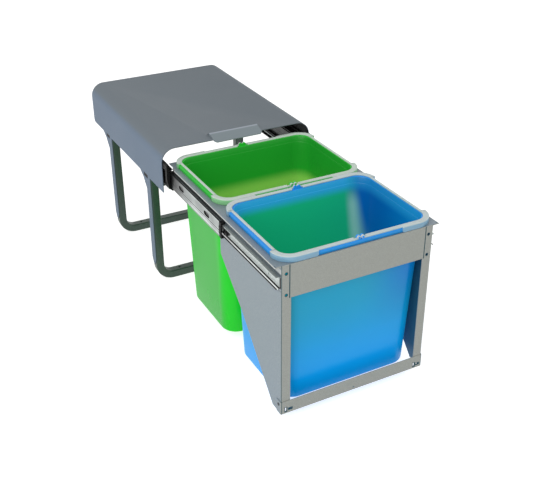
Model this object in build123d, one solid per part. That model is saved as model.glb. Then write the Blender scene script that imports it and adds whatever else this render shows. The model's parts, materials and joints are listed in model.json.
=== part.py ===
"""A pull out bin frame: a drawer frame with two bins, on ball slides under a moulded cover.

The origin lies on the cabinet floor, midway between the four floor screws. X runs to the
right, Y to the back of the cabinet and Z up. The drawer is shown pulled out.
"""

import os

from build123d import *

# Bows: bent rectangular tubes that stand on the cabinet floor
bow_spacing = 248.4
bow_depth = 20.0
bow_thickness = 18.0
bow_wall = 1.5
bow_edge_radius = 2.5
bow_bend_radius = 40.0
bow_cap = 3.0
floor_hole_spacing = 224.0
floor_hole_diameter = 5.5
bow_screw_diameter = 4.8
bow_screw_length = 10.0
bow_screw_inset = 7.2

# Drawer frame: folded sheet steel
drawer_width = 300.0
frame_height = 303.3
frame_floor_gap = 19.3
drawer_travel = 450.0
drawer_step = 17.3
sheet = 1.2
fold_radius = 1.8
bow_gap = 0.6
stile_width = 18.2
band_height = 63.6
band_half_width = 134.4
seam = 0.3
stile_hole_half_spacing = 141.0
stile_hole_high_drop = 16.3
stile_hole_low_drop = 57.0
stile_hole_diameter = 4.5
rail_height = 26.5
rail_tab = 16.2
rail_lip = 12.0
rail_hole_height = 5.8
rail_hole_diameter = 3.0
slot_height = 8.0
slot_width = 3.5
upright_slot_length = 9.0
level_slot_length = 7.0
left_upright_slot = -141.0
left_level_slot = -132.0
right_upright_slot = 134.0
right_level_slot = 141.8
gusset_depth = 236.4
gusset_depth_shares = (1.0, 0.643, 0.275, 0.139)
gusset_height_shares = (0.684, 0.435, 0.122, 0.006)
panel_strip_drop = 15.0
panel_flange = 11.5
tray_depth = 459.0
tray_step_at = 420.0
tray_step = 5.0
tray_notch_at = 75.0
tray_notch = 1.5
tray_notch_length = 4.0
tray_slot_at = 4.5
tray_slot_length = 5.0
tray_slot_inset = 2.4
rear_band_height = 53.0
rear_tab = 14.0
frame_rivet_back = 7.6
frame_rivet_height = 18.4
frame_rivet_diameter = 3.2
rivet_head_diameter = 5.6
rivet_head = 0.8

# Slides: three members each, one inside the other
slide_drop = 33.3
slide_length = 450.0
slide_thickness = 12.7
slide_sheet = 1.2
slide_corner_radius = 1.8
outer_rail_height = 42.0
middle_rail_height = 32.0
inner_rail_height = 22.4
web_step = 1.3
outer_flange_depth = 11.1
middle_flange_depth = 8.0
inner_flange_depth = 7.6
inner_rail_setback = 5.0
outer_rail_lead = 13.0
middle_rail_setback = 217.0
outer_ball_diameter = 3.5
inner_ball_diameter = 3.3
ball_gap = 0.15
ball_pitch = 11.0
cage_sheet = 0.6
cage_end = 4.0
outer_cage_length = 152.0
inner_cage_length = 190.0
outer_cage_gap = 27.7
inner_cage_gap = 23.0
outer_ball_depth = 6.7
inner_ball_depth = 4.6
cage_ball_cover = 2.2
rail_slot_length = 22.0
rail_slot_width = 7.5
rail_slot_rise = 5.0
rail_slot_setbacks = (55.0, 175.0)
rail_fixing_shares = (0.09, 0.5, 0.93)
rail_fixing_diameter = 4.0
rail_fixing_head = 1.0
rail_fixing_head_diameter = 7.0
buffer_length = 8.0
buffer_gap = 0.6
lever_rivet_gap = 18.5
lever_length = 16.0
lever_back_height = 17.0
lever_pin_setback = 4.4
lever_thickness = 4.2
lever_tip_height = 6.0
lever_pad = 1.8
lever_pin_diameter = 4.0
lever_pin_head_diameter = 6.4
pin_clearance = 0.08

# Carriers: folded steel between the bows and the slides
carrier_sheet = 1.5
screw_room = 6.5
carrier_rise = 5.0
carrier_end_gap = 3.0
notch_length = 36.0
notch_height = 8.7
cap_thickness = 8.0
cap_rise = 11.0
cap_corner = 3.0
cap_drop = 1.0
cap_low_width = 6.8
cap_bevel = 6.0
cap_tuck = 8.0
running_gap = 0.5
screw_head_diameter = 9.0
screw_head = 3.0

# Cover: a moulded shell with four leg strips
cover_wall = 1.8
cover_rise = 27.8
cover_corner_radius = 30.0
skirt_height = 93.5
cover_front_overhang = 88.8
cover_rear_overhang = 114.0
cover_rear_radius = 8.0
strip_width = 21.0
strip_floor_gap = 44.0
strip_taper = 14.0
strip_taper_share = 0.3
flare_width = 36.0
flare_height = 32.0
lip_half_width = 55.0
lip_reach = 7.4
lip_drop = 3.3
lip_ridge = 6.5
lip_ridge_back = 21.0
lip_ridge_width = 12.0
lip_end = 5.0
clip_length = 23.0
clip_height = 8.5
clip_depth = 12.0
clip_start = 1.0
clip_drop = 0.9
clip_bow_gap = 1.0
clip_recess = 0.5
rib_thickness = 2.0
rib_height = 14.0
rib_spacing = 130.0

# Bins: tapered tubs with a rim that rests on the tray
bin_mouth_width = 290.0
bin_mouth_length = 209.4
bin_base_width = 268.8
bin_base_length = 184.0
bin_corner_radius = 32.6
bin_base_radius = 6.0
bin_floor_gap = 22.3
bin_wall = 1.8
bin_shift = 2.5
bin_gap = 1.0
bin_setback = 0.2
rim_height = 8.5
rim_overhang = 8.0
rim_wall = 1.6
hole_gap = 3.0
seat_gap = 0.2

# Handles: two half rings on each bin, hinged at two lugs
handle_thickness = 3.0
handle_band = 10.7
handle_skirt = 1.5
handle_side_cut = 6.0
handle_front_cut = 2.8
handle_gap = 0.3
handle_inner_radius = 25.0
handle_neck_start = 12.0
skirt_side_length = 36.0
skirt_front_length = 72.0
hinge_spacing = 7.6
hinge_pin_diameter = 3.0
eye_radius = 3.2
eye_length = 3.2
lug_thickness = 3.0
lug_radius = 3.6
pin_head_radius = 2.1
pin_head = 0.7
end_play = 0.2

overrun = 1.0

# Levels above the cabinet floor
tray_top = frame_floor_gap + frame_height
tray_under = tray_top - sheet
slide_level = tray_top - slide_drop
outer_rail_bottom = slide_level - outer_rail_height / 2
carrier_level = outer_rail_bottom - screw_room
bow_top = carrier_level - carrier_sheet
carrier_top = slide_level + outer_rail_height / 2 + carrier_rise
cover_top = tray_top + cover_rise
skirt_level = cover_top - skirt_height
rim_under = tray_top + seat_gap
rim_top = rim_under + rim_height
handle_top = rim_top + handle_thickness
hinge_level = rim_top + eye_radius + handle_gap

# Places across, from the middle outwards
panel_x = drawer_width / 2
bow_inner_x = panel_x + bow_gap
bow_x = bow_inner_x + bow_thickness / 2
cover_inner_x = bow_inner_x + bow_thickness
cover_x = cover_inner_x + cover_wall
slide_x = panel_x + slide_thickness
outer_web_x = slide_x - slide_sheet
middle_web_x = outer_web_x - web_step
flange_reach = panel_x + panel_flange

# Places from front to back
front_bow_y = -bow_spacing / 2
rear_bow_y = bow_spacing / 2
cover_front = front_bow_y - cover_front_overhang
cover_rear = rear_bow_y + cover_rear_overhang
front_y = cover_front - drawer_step - drawer_travel
outer_rail_y = cover_front - outer_rail_lead
middle_rail_y = front_y + middle_rail_setback
inner_rail_y = front_y + inner_rail_setback
carrier_rear = cover_rear - carrier_end_gap

# Sizes of the bins, their openings and their rings
rim_half_width = bin_mouth_width / 2 + rim_overhang
rim_half_length = bin_mouth_length / 2 + rim_overhang
ring_half_width = rim_half_width + handle_gap + handle_skirt
ring_half_length = rim_half_length + handle_gap + handle_skirt
front_bin_y = front_y + bin_setback + ring_half_length
rear_bin_y = front_bin_y + 2 * ring_half_length + bin_gap


def box(x_range, y_range, z_range):
    """A block between two places on each axis."""
    (x0, x1), (y0, y1), (z0, z1) = x_range, y_range, z_range
    return Pos((x0 + x1) / 2, (y0 + y1) / 2, (z0 + z1) / 2) * Box(x1 - x0, y1 - y0, z1 - z0)


def along_x(face, start, end):
    """Extrude a face drawn in Y and Z from one X to another."""
    return extrude(Plane.YZ.offset(start) * face, amount=end - start)


def along_y(face, start, end):
    """Extrude a face drawn in X and Z from one Y to another."""
    return extrude(Plane.XZ.offset(-start) * face, amount=start - end)


def along_z(face, start, end):
    """Extrude a face drawn in X and Y from one Z to another."""
    return extrude(Plane.XY.offset(start) * face, amount=end - start)


def outline(*points):
    """A flat face through the given points."""
    return make_face(Polyline(*points, close=True))


def rod_x(start, end, y, z, radius):
    """A round bar along X."""
    return along_x(Pos(y, z) * Circle(radius), start, end)


def rod_y(start, end, x, z, radius):
    """A round bar along Y."""
    return along_y(Pos(x, z) * Circle(radius), start, end)


def rod_z(start, end, x, y, radius):
    """A round bar along Z."""
    return along_z(Pos(x, y) * Circle(radius), start, end)


def mirrored(solid):
    """The same piece on the other side of the middle plane."""
    return mirror(solid, about=Plane.YZ)


def group(pieces):
    """Separate solids that share one node."""
    return Compound(children=[Solid(piece.solid().wrapped) for piece in pieces])


def pair(solid):
    """A piece on the right and its copy on the left, in one node."""
    return group([solid, mirrored(solid)])


# Bows


def bow_line(top):
    """Centre line of a bow, from the top of one upright to the top of the other."""
    low = bow_thickness / 2
    corners = ((-bow_x, 0, top), (-bow_x, 0, low), (bow_x, 0, low), (bow_x, 0, top))
    return FilletPolyline(*corners, radius=bow_bend_radius - bow_thickness / 2)


def bow_sweep(top, inset):
    """The tube's section, drawn in by an inset, swept along the bow."""
    line = bow_line(top)
    start = Plane(origin=line @ 0, x_dir=(0, 1, 0), z_dir=line % 0)
    section = RectangleRounded(
        bow_depth - 2 * inset, bow_thickness - 2 * inset, bow_edge_radius - inset
    )
    return sweep(start * section, path=line)


def bow(centre_y):
    """One bow, closed at both tops, with floor holes and screw holes."""
    tube = bow_sweep(bow_top, 0) - bow_sweep(bow_top - bow_cap, bow_wall)
    for side in (-1, 1):
        floor_x = side * floor_hole_spacing / 2
        tube -= rod_z(-overrun, bow_thickness + overrun, floor_x, 0, floor_hole_diameter / 2)
        screw_x = side * (bow_inner_x + bow_screw_inset)
        tube -= rod_z(bow_top - bow_cap - overrun, bow_top + overrun, screw_x, 0, bow_screw_diameter / 2)
    return Pos(0, centre_y, 0) * tube


def bow_screw(centre_y):
    """A pan head screw that holds the right carrier to one bow."""
    place = (bow_inner_x + bow_screw_inset, centre_y)
    shank = rod_z(bow_top - bow_screw_length, carrier_level, *place, bow_screw_diameter / 2)
    head = rod_z(carrier_level, carrier_level + screw_head, *place, screw_head_diameter / 2)
    head = fillet(head.edges().group_by(Axis.Z)[-1], screw_head / 3)
    return shank + head


def bow_screws():
    """The four screws between carriers and bows."""
    screws = [bow_screw(y) for y in (front_bow_y, rear_bow_y)]
    return group(screws + [mirrored(screw) for screw in screws])


# Carriers


def rail_fixings(rail_start):
    """Y places of the fixings along one slide member."""
    return [rail_start + share * slide_length for share in rail_fixing_shares]


def carrier():
    """Right carrier: a Z section, its foot on the bows and its top flange at the cover."""
    section = outline(
        (bow_inner_x, bow_top),
        (slide_x + carrier_sheet, bow_top),
        (slide_x + carrier_sheet, carrier_top - carrier_sheet),
        (cover_inner_x, carrier_top - carrier_sheet),
        (cover_inner_x, carrier_top),
        (slide_x, carrier_top),
        (slide_x, carrier_level),
        (bow_inner_x, carrier_level),
    )
    body = along_y(section, outer_rail_y, carrier_rear)
    for y in (front_bow_y, rear_bow_y):
        body -= rod_z(
            bow_top - overrun, carrier_level + overrun, bow_inner_x + bow_screw_inset, y,
            bow_screw_diameter / 2,
        )
    for y in rail_fixings(outer_rail_y):
        body -= rod_x(slide_x - overrun, slide_x + carrier_sheet + overrun, y, slide_level,
                      rail_fixing_diameter / 2)
    return body - box((bow_inner_x - overrun, slide_x + carrier_sheet + overrun),
                      (outer_rail_y - overrun, outer_rail_y + notch_length),
                      (bow_top - overrun, outer_rail_bottom + notch_height))


def carrier_cap():
    """Right end cap: a plate around the open end of the slide and a block on the carrier."""
    middle_half = middle_rail_height / 2 + running_gap
    inner_x = panel_x + 2 * running_gap
    tray_side_x = slide_x + running_gap
    outer_x = cover_inner_x - running_gap
    low = outer_rail_bottom - cap_drop
    top = carrier_top + cap_rise
    face = outline(
        (inner_x, low),
        (inner_x + cap_low_width, low),
        (slide_x + carrier_sheet, low + cap_bevel),
        (outer_x, slide_level),
        (outer_x, top - cap_corner),
        (outer_x - cap_corner, top),
        (tray_side_x, top),
        (tray_side_x, slide_level + middle_half + slide_sheet),
        (inner_x, slide_level + middle_half + slide_sheet),
        (inner_x, slide_level + middle_half),
        (outer_web_x, slide_level + middle_half),
        (outer_web_x, slide_level - middle_half),
        (inner_x, slide_level - middle_half),
    )
    block = outline(
        (tray_side_x, carrier_top),
        (outer_x, carrier_top),
        (outer_x, top - cap_corner),
        (outer_x - cap_corner, top),
        (tray_side_x, top),
    )
    plate = along_y(face, outer_rail_y - cap_thickness, outer_rail_y)
    return plate + along_y(block, outer_rail_y, cover_front + cap_tuck)


# Slides


def channel(web_x, flange_depth, height):
    """Section of a slide member: a web with two flanges towards the drawer."""
    half = height / 2
    outside = outline((web_x - flange_depth, slide_level - half), (web_x, slide_level - half),
                      (web_x, slide_level + half), (web_x - flange_depth, slide_level + half))
    outside = fillet(outside.vertices().sort_by(Axis.X)[-2:], slide_corner_radius)
    low = slide_level - half + slide_sheet
    high = slide_level + half - slide_sheet
    end = web_x - flange_depth - overrun
    inside = outline((end, low), (web_x - slide_sheet, low), (web_x - slide_sheet, high), (end, high))
    inside = fillet(inside.vertices().sort_by(Axis.X)[-2:], slide_corner_radius - slide_sheet)
    return outside - inside


def outer_rail():
    """Right cabinet member, with a hole at each screw."""
    rail = along_y(channel(slide_x, outer_flange_depth, outer_rail_height),
                   outer_rail_y, outer_rail_y + slide_length)
    for y in rail_fixings(outer_rail_y):
        rail -= rod_x(outer_web_x - overrun, slide_x + overrun, y, slide_level, rail_fixing_diameter / 2)
    return rail


def outer_rail_screws():
    """Flush screws through the cabinet members, with formed heads behind the carriers."""
    back = slide_x + carrier_sheet
    screws = []
    for y in rail_fixings(outer_rail_y):
        shank = rod_x(outer_web_x, back, y, slide_level, rail_fixing_diameter / 2)
        head = rod_x(back, back + rail_fixing_head, y, slide_level, rail_fixing_head_diameter / 2)
        screws.append(shank + head)
    return group(screws + [mirrored(screw) for screw in screws])


def middle_rail():
    """Right middle member, with two slots in its web."""
    rail = along_y(channel(middle_web_x, middle_flange_depth, middle_rail_height),
                   middle_rail_y, middle_rail_y + slide_length)
    for setback in rail_slot_setbacks:
        slot = SlotOverall(rail_slot_length, rail_slot_width)
        cut = along_x(slot, middle_web_x - slide_sheet - overrun, middle_web_x + overrun)
        rail -= Pos(0, middle_rail_y + setback, slide_level + rail_slot_rise) * cut
    return rail


def middle_buffer():
    """Right end buffer: a plastic block on the front end of the middle member."""
    half = middle_rail_height / 2
    arm = half - inner_rail_height / 2 - buffer_gap
    back_x = panel_x + inner_flange_depth + buffer_gap
    front_x = middle_web_x - middle_flange_depth
    face = outline(
        (front_x, slide_level - half),
        (middle_web_x, slide_level - half),
        (middle_web_x, slide_level + half),
        (front_x, slide_level + half),
        (front_x, slide_level + half - arm),
        (back_x, slide_level + half - arm),
        (back_x, slide_level - half + arm),
        (front_x, slide_level - half + arm),
    )
    pad = box((middle_web_x, middle_web_x + web_step - running_gap),
              (middle_rail_y - buffer_length, middle_rail_y),
              (slide_level - half / 2, slide_level + half / 2))
    return along_y(face, middle_rail_y - buffer_length, middle_rail_y) + pad


def inner_section():
    """Section of the drawer member: its web lies on the side panel, flanges outwards."""
    half = inner_rail_height / 2
    tip = panel_x + inner_flange_depth
    outside = outline((panel_x, slide_level - half), (tip, slide_level - half),
                      (tip, slide_level + half), (panel_x, slide_level + half))
    outside = fillet(outside.vertices().sort_by(Axis.X)[:2], slide_corner_radius)
    low = slide_level - half + slide_sheet
    high = slide_level + half - slide_sheet
    web = panel_x + slide_sheet
    inside = outline((web, low), (tip + overrun, low), (tip + overrun, high), (web, high))
    inside = fillet(inside.vertices().sort_by(Axis.X)[:2], slide_corner_radius - slide_sheet)
    return outside - inside


def inner_rail():
    """Right drawer member, with rivet holes and the pin of the release lever."""
    rail = along_y(inner_section(), inner_rail_y, inner_rail_y + slide_length)
    for y in rail_fixings(inner_rail_y):
        rail -= rod_x(panel_x - overrun, panel_x + slide_sheet + overrun, y, slide_level,
                      rail_fixing_diameter / 2)
    pin_start = panel_x + slide_sheet / 2
    head_start = lever_x() + lever_thickness + end_play
    rail += rod_x(pin_start, head_start + end_play, lever_pivot_y(), slide_level, lever_pin_diameter / 2)
    rail += rod_x(head_start, head_start + slide_sheet, lever_pivot_y(), slide_level,
                  lever_pin_head_diameter / 2)
    return rail


def inner_rail_rivets():
    """Rivets through the drawer members and the side panels."""
    rivets = []
    for y in rail_fixings(inner_rail_y):
        shank = rod_x(panel_x - sheet - rivet_head, panel_x + slide_sheet, y, slide_level,
                      rail_fixing_diameter / 2)
        head = rod_x(panel_x + slide_sheet, panel_x + slide_sheet + rail_fixing_head, y,
                     slide_level, rail_fixing_head_diameter / 2)
        tail = rod_x(panel_x - sheet - rivet_head, panel_x - sheet, y, slide_level,
                     rail_fixing_head_diameter / 2)
        rivets.append(shank + head + tail)
    return group(rivets + [mirrored(rivet) for rivet in rivets])


def lever_x():
    """Inner face of the right release lever."""
    return panel_x + slide_sheet + end_play


def lever_back_y():
    """Place of the lever's back end, ahead of the drawer member's middle rivet."""
    rivet_y = rail_fixings(inner_rail_y)[1]
    return rivet_y - rail_fixing_head_diameter / 2 - lever_rivet_gap


def lever_pivot_y():
    """Place of the lever's pin, near the lever's back end."""
    return lever_back_y() - lever_pin_setback


def release_lever():
    """Right release lever: a wedge on its pin that narrows to a thumb pad in front."""
    tip_y = lever_back_y() - lever_length
    half = lever_tip_height / 2
    back_half = lever_back_height / 2
    wedge = outline(
        (tip_y, slide_level - half),
        (lever_back_y(), slide_level - back_half),
        (lever_back_y(), slide_level + back_half),
        (tip_y, slide_level + half),
    )
    x0 = lever_x()
    x1 = x0 + lever_thickness
    lever = along_x(wedge, x0, x1)
    lever += box((x0, x1 + lever_pad), (tip_y, tip_y + lever_tip_height),
                 (slide_level - half, slide_level + half))
    bore = lever_pin_diameter / 2 + pin_clearance
    return lever - rod_x(x0 - overrun, x1 + overrun, lever_pivot_y(), slide_level, bore)


def ball_places(start, length):
    """Y places of one row of balls along a cage."""
    room = length - 2 * cage_end
    count = int(room // ball_pitch)
    return [start + cage_end + room * (index + 0.5) / count for index in range(count)]


def cage(web_x, ball_x, level, start, length, hole_radius):
    """A ball cage: a thin web between two members and a flange with holes on each side."""
    flange_tip = ball_x - cage_ball_cover
    half = level + cage_sheet / 2
    outside = box((flange_tip, web_x), (start, start + length), (slide_level - half, slide_level + half))
    inner_half = half - cage_sheet
    body = outside - box((flange_tip - overrun, web_x - cage_sheet),
                         (start - overrun, start + length + overrun),
                         (slide_level - inner_half, slide_level + inner_half))
    holes = [rod_z(slide_level - half - overrun, slide_level + half + overrun, ball_x, y, hole_radius)
             for y in ball_places(start, length)]
    return body - holes


def balls(ball_x, level, start, length, radius):
    """The balls of one cage, in an upper and a lower row."""
    return [Pos(ball_x, y, slide_level + side * level) * Sphere(radius)
            for side in (-1, 1) for y in ball_places(start, length)]


def outer_cage_parts():
    """Right cage and balls between the cabinet member and the middle member."""
    radius = outer_ball_diameter / 2
    level = outer_rail_height / 2 - slide_sheet - ball_gap - radius
    ball_x = slide_x - outer_ball_depth
    web_x = outer_web_x - (web_step - cage_sheet) / 2
    start = outer_rail_y + outer_cage_gap
    frame = cage(web_x, ball_x, level, start, outer_cage_length, radius + ball_gap)
    return frame, balls(ball_x, level, start, outer_cage_length, radius)


def inner_cage_parts():
    """Right cage and balls between the middle member and the drawer member."""
    radius = inner_ball_diameter / 2
    level = middle_rail_height / 2 - slide_sheet - ball_gap - radius
    ball_x = panel_x + inner_ball_depth
    tip_x = panel_x + inner_flange_depth
    web_x = (tip_x + middle_web_x - slide_sheet + cage_sheet) / 2
    start = middle_rail_y + inner_cage_gap
    frame = cage(web_x, ball_x, level, start, inner_cage_length, radius + ball_gap)
    return frame, balls(ball_x, level, start, inner_cage_length, radius)


# Drawer frame


def gusset_cut():
    """What is cut away from the side panel behind and under its gusset."""
    drop = slide_level - panel_strip_drop
    points = [(front_y + gusset_depth * depth, frame_floor_gap + frame_height * height)
              for depth, height in zip(gusset_depth_shares, gusset_height_shares)]
    rear = front_y + tray_depth + overrun
    low = frame_floor_gap - overrun
    last = (points[-1][0], low)
    return outline((front_y + gusset_depth, drop), *points, last, (rear, low), (rear, drop))


def stile_cuts():
    """Holes and slots for the cabinet door at the front of the frame."""
    cuts = []
    y0 = front_y - sheet - overrun
    y1 = front_y + sheet + overrun
    for side in (-1, 1):
        for drop in (stile_hole_high_drop, stile_hole_low_drop):
            cuts.append(rod_y(y0, y1, side * stile_hole_half_spacing, tray_top - drop,
                              stile_hole_diameter / 2))
    level = frame_floor_gap + slot_height
    for x in (left_upright_slot, right_upright_slot):
        upright = Rot(0, 0, 90) * SlotOverall(upright_slot_length, slot_width)
        cuts.append(along_y(Pos(x, level) * upright, y0, y1))
    for x in (left_level_slot, right_level_slot):
        cuts.append(along_y(Pos(x, level) * SlotOverall(level_slot_length, slot_width), y0, y1))
    return cuts


def folded_corner():
    """Side panel and stile in plan, joined by a fold."""
    rear = front_y + tray_depth - sheet
    outside = outline((panel_x - stile_width, front_y), (panel_x, front_y), (panel_x, rear),
                      (panel_x - stile_width, rear))
    corner = outside.vertices().sort_by(Axis.X)[-2:].sort_by(Axis.Y)[:1]
    outside = fillet(corner, fold_radius)
    inside = outline((panel_x - stile_width - overrun, front_y + sheet), (panel_x - sheet, front_y + sheet),
                     (panel_x - sheet, rear + overrun), (panel_x - stile_width - overrun, rear + overrun))
    corner = inside.vertices().sort_by(Axis.X)[-2:].sort_by(Axis.Y)[:1]
    inside = fillet(corner, fold_radius - sheet)
    return outside - inside


def side_panel():
    """Right side panel: gusset, front stile and a top flange under the tray."""
    panel = along_z(folded_corner(), frame_floor_gap, tray_under)
    panel -= along_x(gusset_cut(), panel_x - sheet - overrun, panel_x + overrun)
    band_bottom = tray_top - band_height
    panel -= box((panel_x - stile_width - overrun, band_half_width + seam),
                 (front_y - overrun, front_y + sheet + overrun), (band_bottom - seam, tray_top))
    panel += box((panel_x - sheet, flange_reach), (front_y + fold_radius, front_y + tray_step_at - tray_step),
                 (tray_under - sheet, tray_under))
    for y in rail_fixings(inner_rail_y):
        panel -= rod_x(panel_x - sheet - overrun, panel_x + overrun, y, slide_level, rail_fixing_diameter / 2)
    rivet_place = (front_y + frame_rivet_back, frame_floor_gap + frame_rivet_height)
    panel -= rod_x(panel_x - sheet - overrun, panel_x + overrun, *rivet_place, frame_rivet_diameter / 2)
    return panel


def bin_opening(centre_y):
    """Opening in the tray for one bin."""
    hole = RectangleRounded(bin_mouth_width + 2 * hole_gap, bin_mouth_length + 2 * hole_gap,
                            bin_corner_radius + hole_gap)
    return Pos(0, centre_y) * hole


def bin_tray():
    """Tray sheet with two openings, a front band and a rear band folded down from it."""
    step_y = front_y + tray_step_at
    rear = front_y + tray_depth
    wide = slide_x - running_gap
    narrow = wide - tray_step
    plate = outline((-wide, front_y), (wide, front_y), (wide, step_y), (narrow, step_y + tray_step),
                    (narrow, rear), (-narrow, rear), (-narrow, step_y + tray_step), (-wide, step_y))
    plate -= bin_opening(front_bin_y) + bin_opening(rear_bin_y)
    tray = along_z(plate, tray_under, tray_top)
    tray += box((-band_half_width, band_half_width), (front_y, front_y + sheet),
                (tray_top - band_height, tray_under))
    tray += rear_band(rear)
    notch_y = front_y + tray_notch_at
    tray -= box((-wide - overrun, tray_notch - wide), (notch_y, notch_y + tray_notch_length),
                (tray_under - overrun, tray_top + overrun))
    slot = Rot(0, 0, 90) * SlotOverall(tray_slot_length, sheet)
    for side in (-1, 1):
        place = Pos(side * (wide - tray_slot_inset), front_y + tray_slot_at)
        tray -= along_z(place * slot, tray_under - overrun, tray_top + overrun)
    return tray


def rear_band(rear):
    """Rear band under the tray, with a tab forward inside each side panel."""
    half = panel_x - sheet
    plan = outline((-half, rear), (-half, rear - rear_tab), (sheet - half, rear - rear_tab),
                   (sheet - half, rear - sheet), (half - sheet, rear - sheet),
                   (half - sheet, rear - rear_tab), (half, rear - rear_tab), (half, rear))
    return along_z(plan, tray_top - rear_band_height, tray_under)


def bottom_rail():
    """Bottom rail: a front plate with its ends folded back and a lip under the frame."""
    out_x = panel_x + sheet
    out_y = front_y - sheet
    back = front_y - sheet + rail_tab
    outside = outline((-out_x, out_y), (out_x, out_y), (out_x, back), (-out_x, back))
    outside = fillet(outside.vertices().sort_by(Axis.Y)[:2], fold_radius)
    inside = outline((-panel_x, front_y), (panel_x, front_y), (panel_x, back + overrun),
                     (-panel_x, back + overrun))
    inside = fillet(inside.vertices().sort_by(Axis.Y)[:2], fold_radius)
    rail = along_z(outside - inside, frame_floor_gap, frame_floor_gap + rail_height)
    lip_half = panel_x - stile_width - seam
    rail += box((-lip_half, lip_half), (front_y - sheet, front_y + rail_lip),
                (frame_floor_gap, frame_floor_gap + sheet))
    rail -= rod_y(front_y - sheet - overrun, front_y + overrun, 0, frame_floor_gap + rail_hole_height,
                  rail_hole_diameter / 2)
    rivet_place = (front_y + frame_rivet_back, frame_floor_gap + frame_rivet_height)
    rail -= rod_x(-out_x - overrun, out_x + overrun, *rivet_place, frame_rivet_diameter / 2)
    return rail


def frame_rivets():
    """One rivet on each side, through the bottom rail's end and the side panel."""
    place = (front_y + frame_rivet_back, frame_floor_gap + frame_rivet_height)
    shank = rod_x(panel_x - sheet, panel_x + sheet, *place, frame_rivet_diameter / 2)
    head = rod_x(panel_x + sheet, panel_x + sheet + rivet_head, *place, rivet_head_diameter / 2)
    tail = rod_x(panel_x - sheet - rivet_head, panel_x - sheet, *place, rivet_head_diameter / 2)
    return pair(shank + head + tail)


# Cover


def arch(half_width, bottom, top, radius):
    """Section of the cover: a block with two rounded top corners."""
    face = outline((-half_width, bottom), (half_width, bottom), (half_width, top), (-half_width, top))
    return fillet(face.vertices().sort_by(Axis.Y)[-2:], radius)


def leg_strip(bow_y):
    """Side view of a leg strip: it hangs from the skirt, flared behind and tapered below."""
    front = bow_y - strip_width / 2
    back = bow_y + strip_width / 2
    taper = strip_width * strip_taper_share
    seat = skirt_level + flare_height / 2
    return outline(
        (front, seat),
        (front, strip_floor_gap + strip_taper),
        (front + taper, strip_floor_gap),
        (back - taper, strip_floor_gap),
        (back, strip_floor_gap + strip_taper),
        (back, skirt_level - flare_height),
        (back + flare_width / 2, skirt_level - flare_height / 3),
        (back + flare_width, skirt_level),
        (back + flare_width, seat),
    )


def cover_lip():
    """Lip in the middle of the cover's front edge, raised behind and turned down in front."""
    front = cover_front - lip_reach
    ridge = cover_front + lip_ridge_back
    under = cover_top - cover_wall
    side = outline(
        (front, under - lip_drop),
        (front, cover_top - lip_drop),
        (cover_front, cover_top),
        (ridge, cover_top + lip_ridge),
        (ridge + lip_ridge_width, cover_top),
        (ridge + lip_ridge_width, under),
        (cover_front, under),
    )
    plan = outline(
        (-lip_half_width, ridge + lip_ridge_width),
        (-lip_half_width, front + lip_end),
        (-lip_half_width + lip_end, front),
        (lip_half_width - lip_end, front),
        (lip_half_width, front + lip_end),
        (lip_half_width, ridge + lip_ridge_width),
    )
    lip = along_x(side, -lip_half_width, lip_half_width)
    return lip & along_z(plan, under - lip_drop, cover_top + lip_ridge)


def clip_place(bow_y):
    """Y range of the clip beside one bow."""
    start = bow_y + clip_start
    return start, start + clip_length


def clip_levels():
    """Z range of the clips."""
    high = bow_top - clip_drop
    return high - clip_height, high


def top_cover():
    """The moulded cover, open at the front and the back."""
    shell = along_y(arch(cover_x, skirt_level, cover_top, cover_corner_radius), cover_front, cover_rear)
    rear_low = shell.edges().filter_by(Axis.X).group_by(Axis.Z)[0].sort_by(Axis.Y)[-1:]
    shell = fillet(rear_low, cover_rear_radius)
    for bow_y in (front_bow_y, rear_bow_y):
        shell += along_x(leg_strip(bow_y), cover_inner_x, cover_x)
        shell += along_x(leg_strip(bow_y), -cover_x, -cover_inner_x)
    inner_radius = cover_corner_radius - cover_wall
    room = arch(cover_inner_x, strip_floor_gap - overrun, cover_top - cover_wall, inner_radius)
    shell -= along_y(room, cover_front - overrun, cover_rear + overrun)
    shell += cover_lip()
    for rib_y in (-rib_spacing, 0, rib_spacing):
        rib = box((slide_x + carrier_sheet, cover_inner_x + cover_wall / 2),
                  (rib_y - rib_thickness / 2, rib_y + rib_thickness / 2),
                  (carrier_top, carrier_top + rib_height))
        shell += rib + mirrored(rib)
    for bow_y in (front_bow_y, rear_bow_y):
        shell -= box((-cover_x - overrun, cover_x + overrun), clip_place(bow_y), clip_levels())
    return shell


def cover_clips():
    """Plastic clips in the cover's slots: a pad beside each bow and a hook behind it."""
    clips = []
    for bow_y in (front_bow_y, rear_bow_y):
        pad = box((cover_inner_x, cover_x - clip_recess), clip_place(bow_y), clip_levels())
        hook_start = bow_y + bow_depth / 2 + clip_bow_gap
        hook = box((cover_inner_x - clip_depth, cover_inner_x), (hook_start, clip_place(bow_y)[1]),
                   clip_levels())
        clips.append(pad + hook)
    return group(clips + [mirrored(clip) for clip in clips])


# Bins


def tub(base_half, mouth_half, radius, low, high):
    """A tapered block with rounded corners, between two levels."""
    base = Plane.XY.offset(low) * RectangleRounded(2 * base_half[0], 2 * base_half[1], radius)
    mouth = Plane.XY.offset(high) * RectangleRounded(2 * mouth_half[0], 2 * mouth_half[1], radius)
    return loft([base, mouth])


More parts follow.
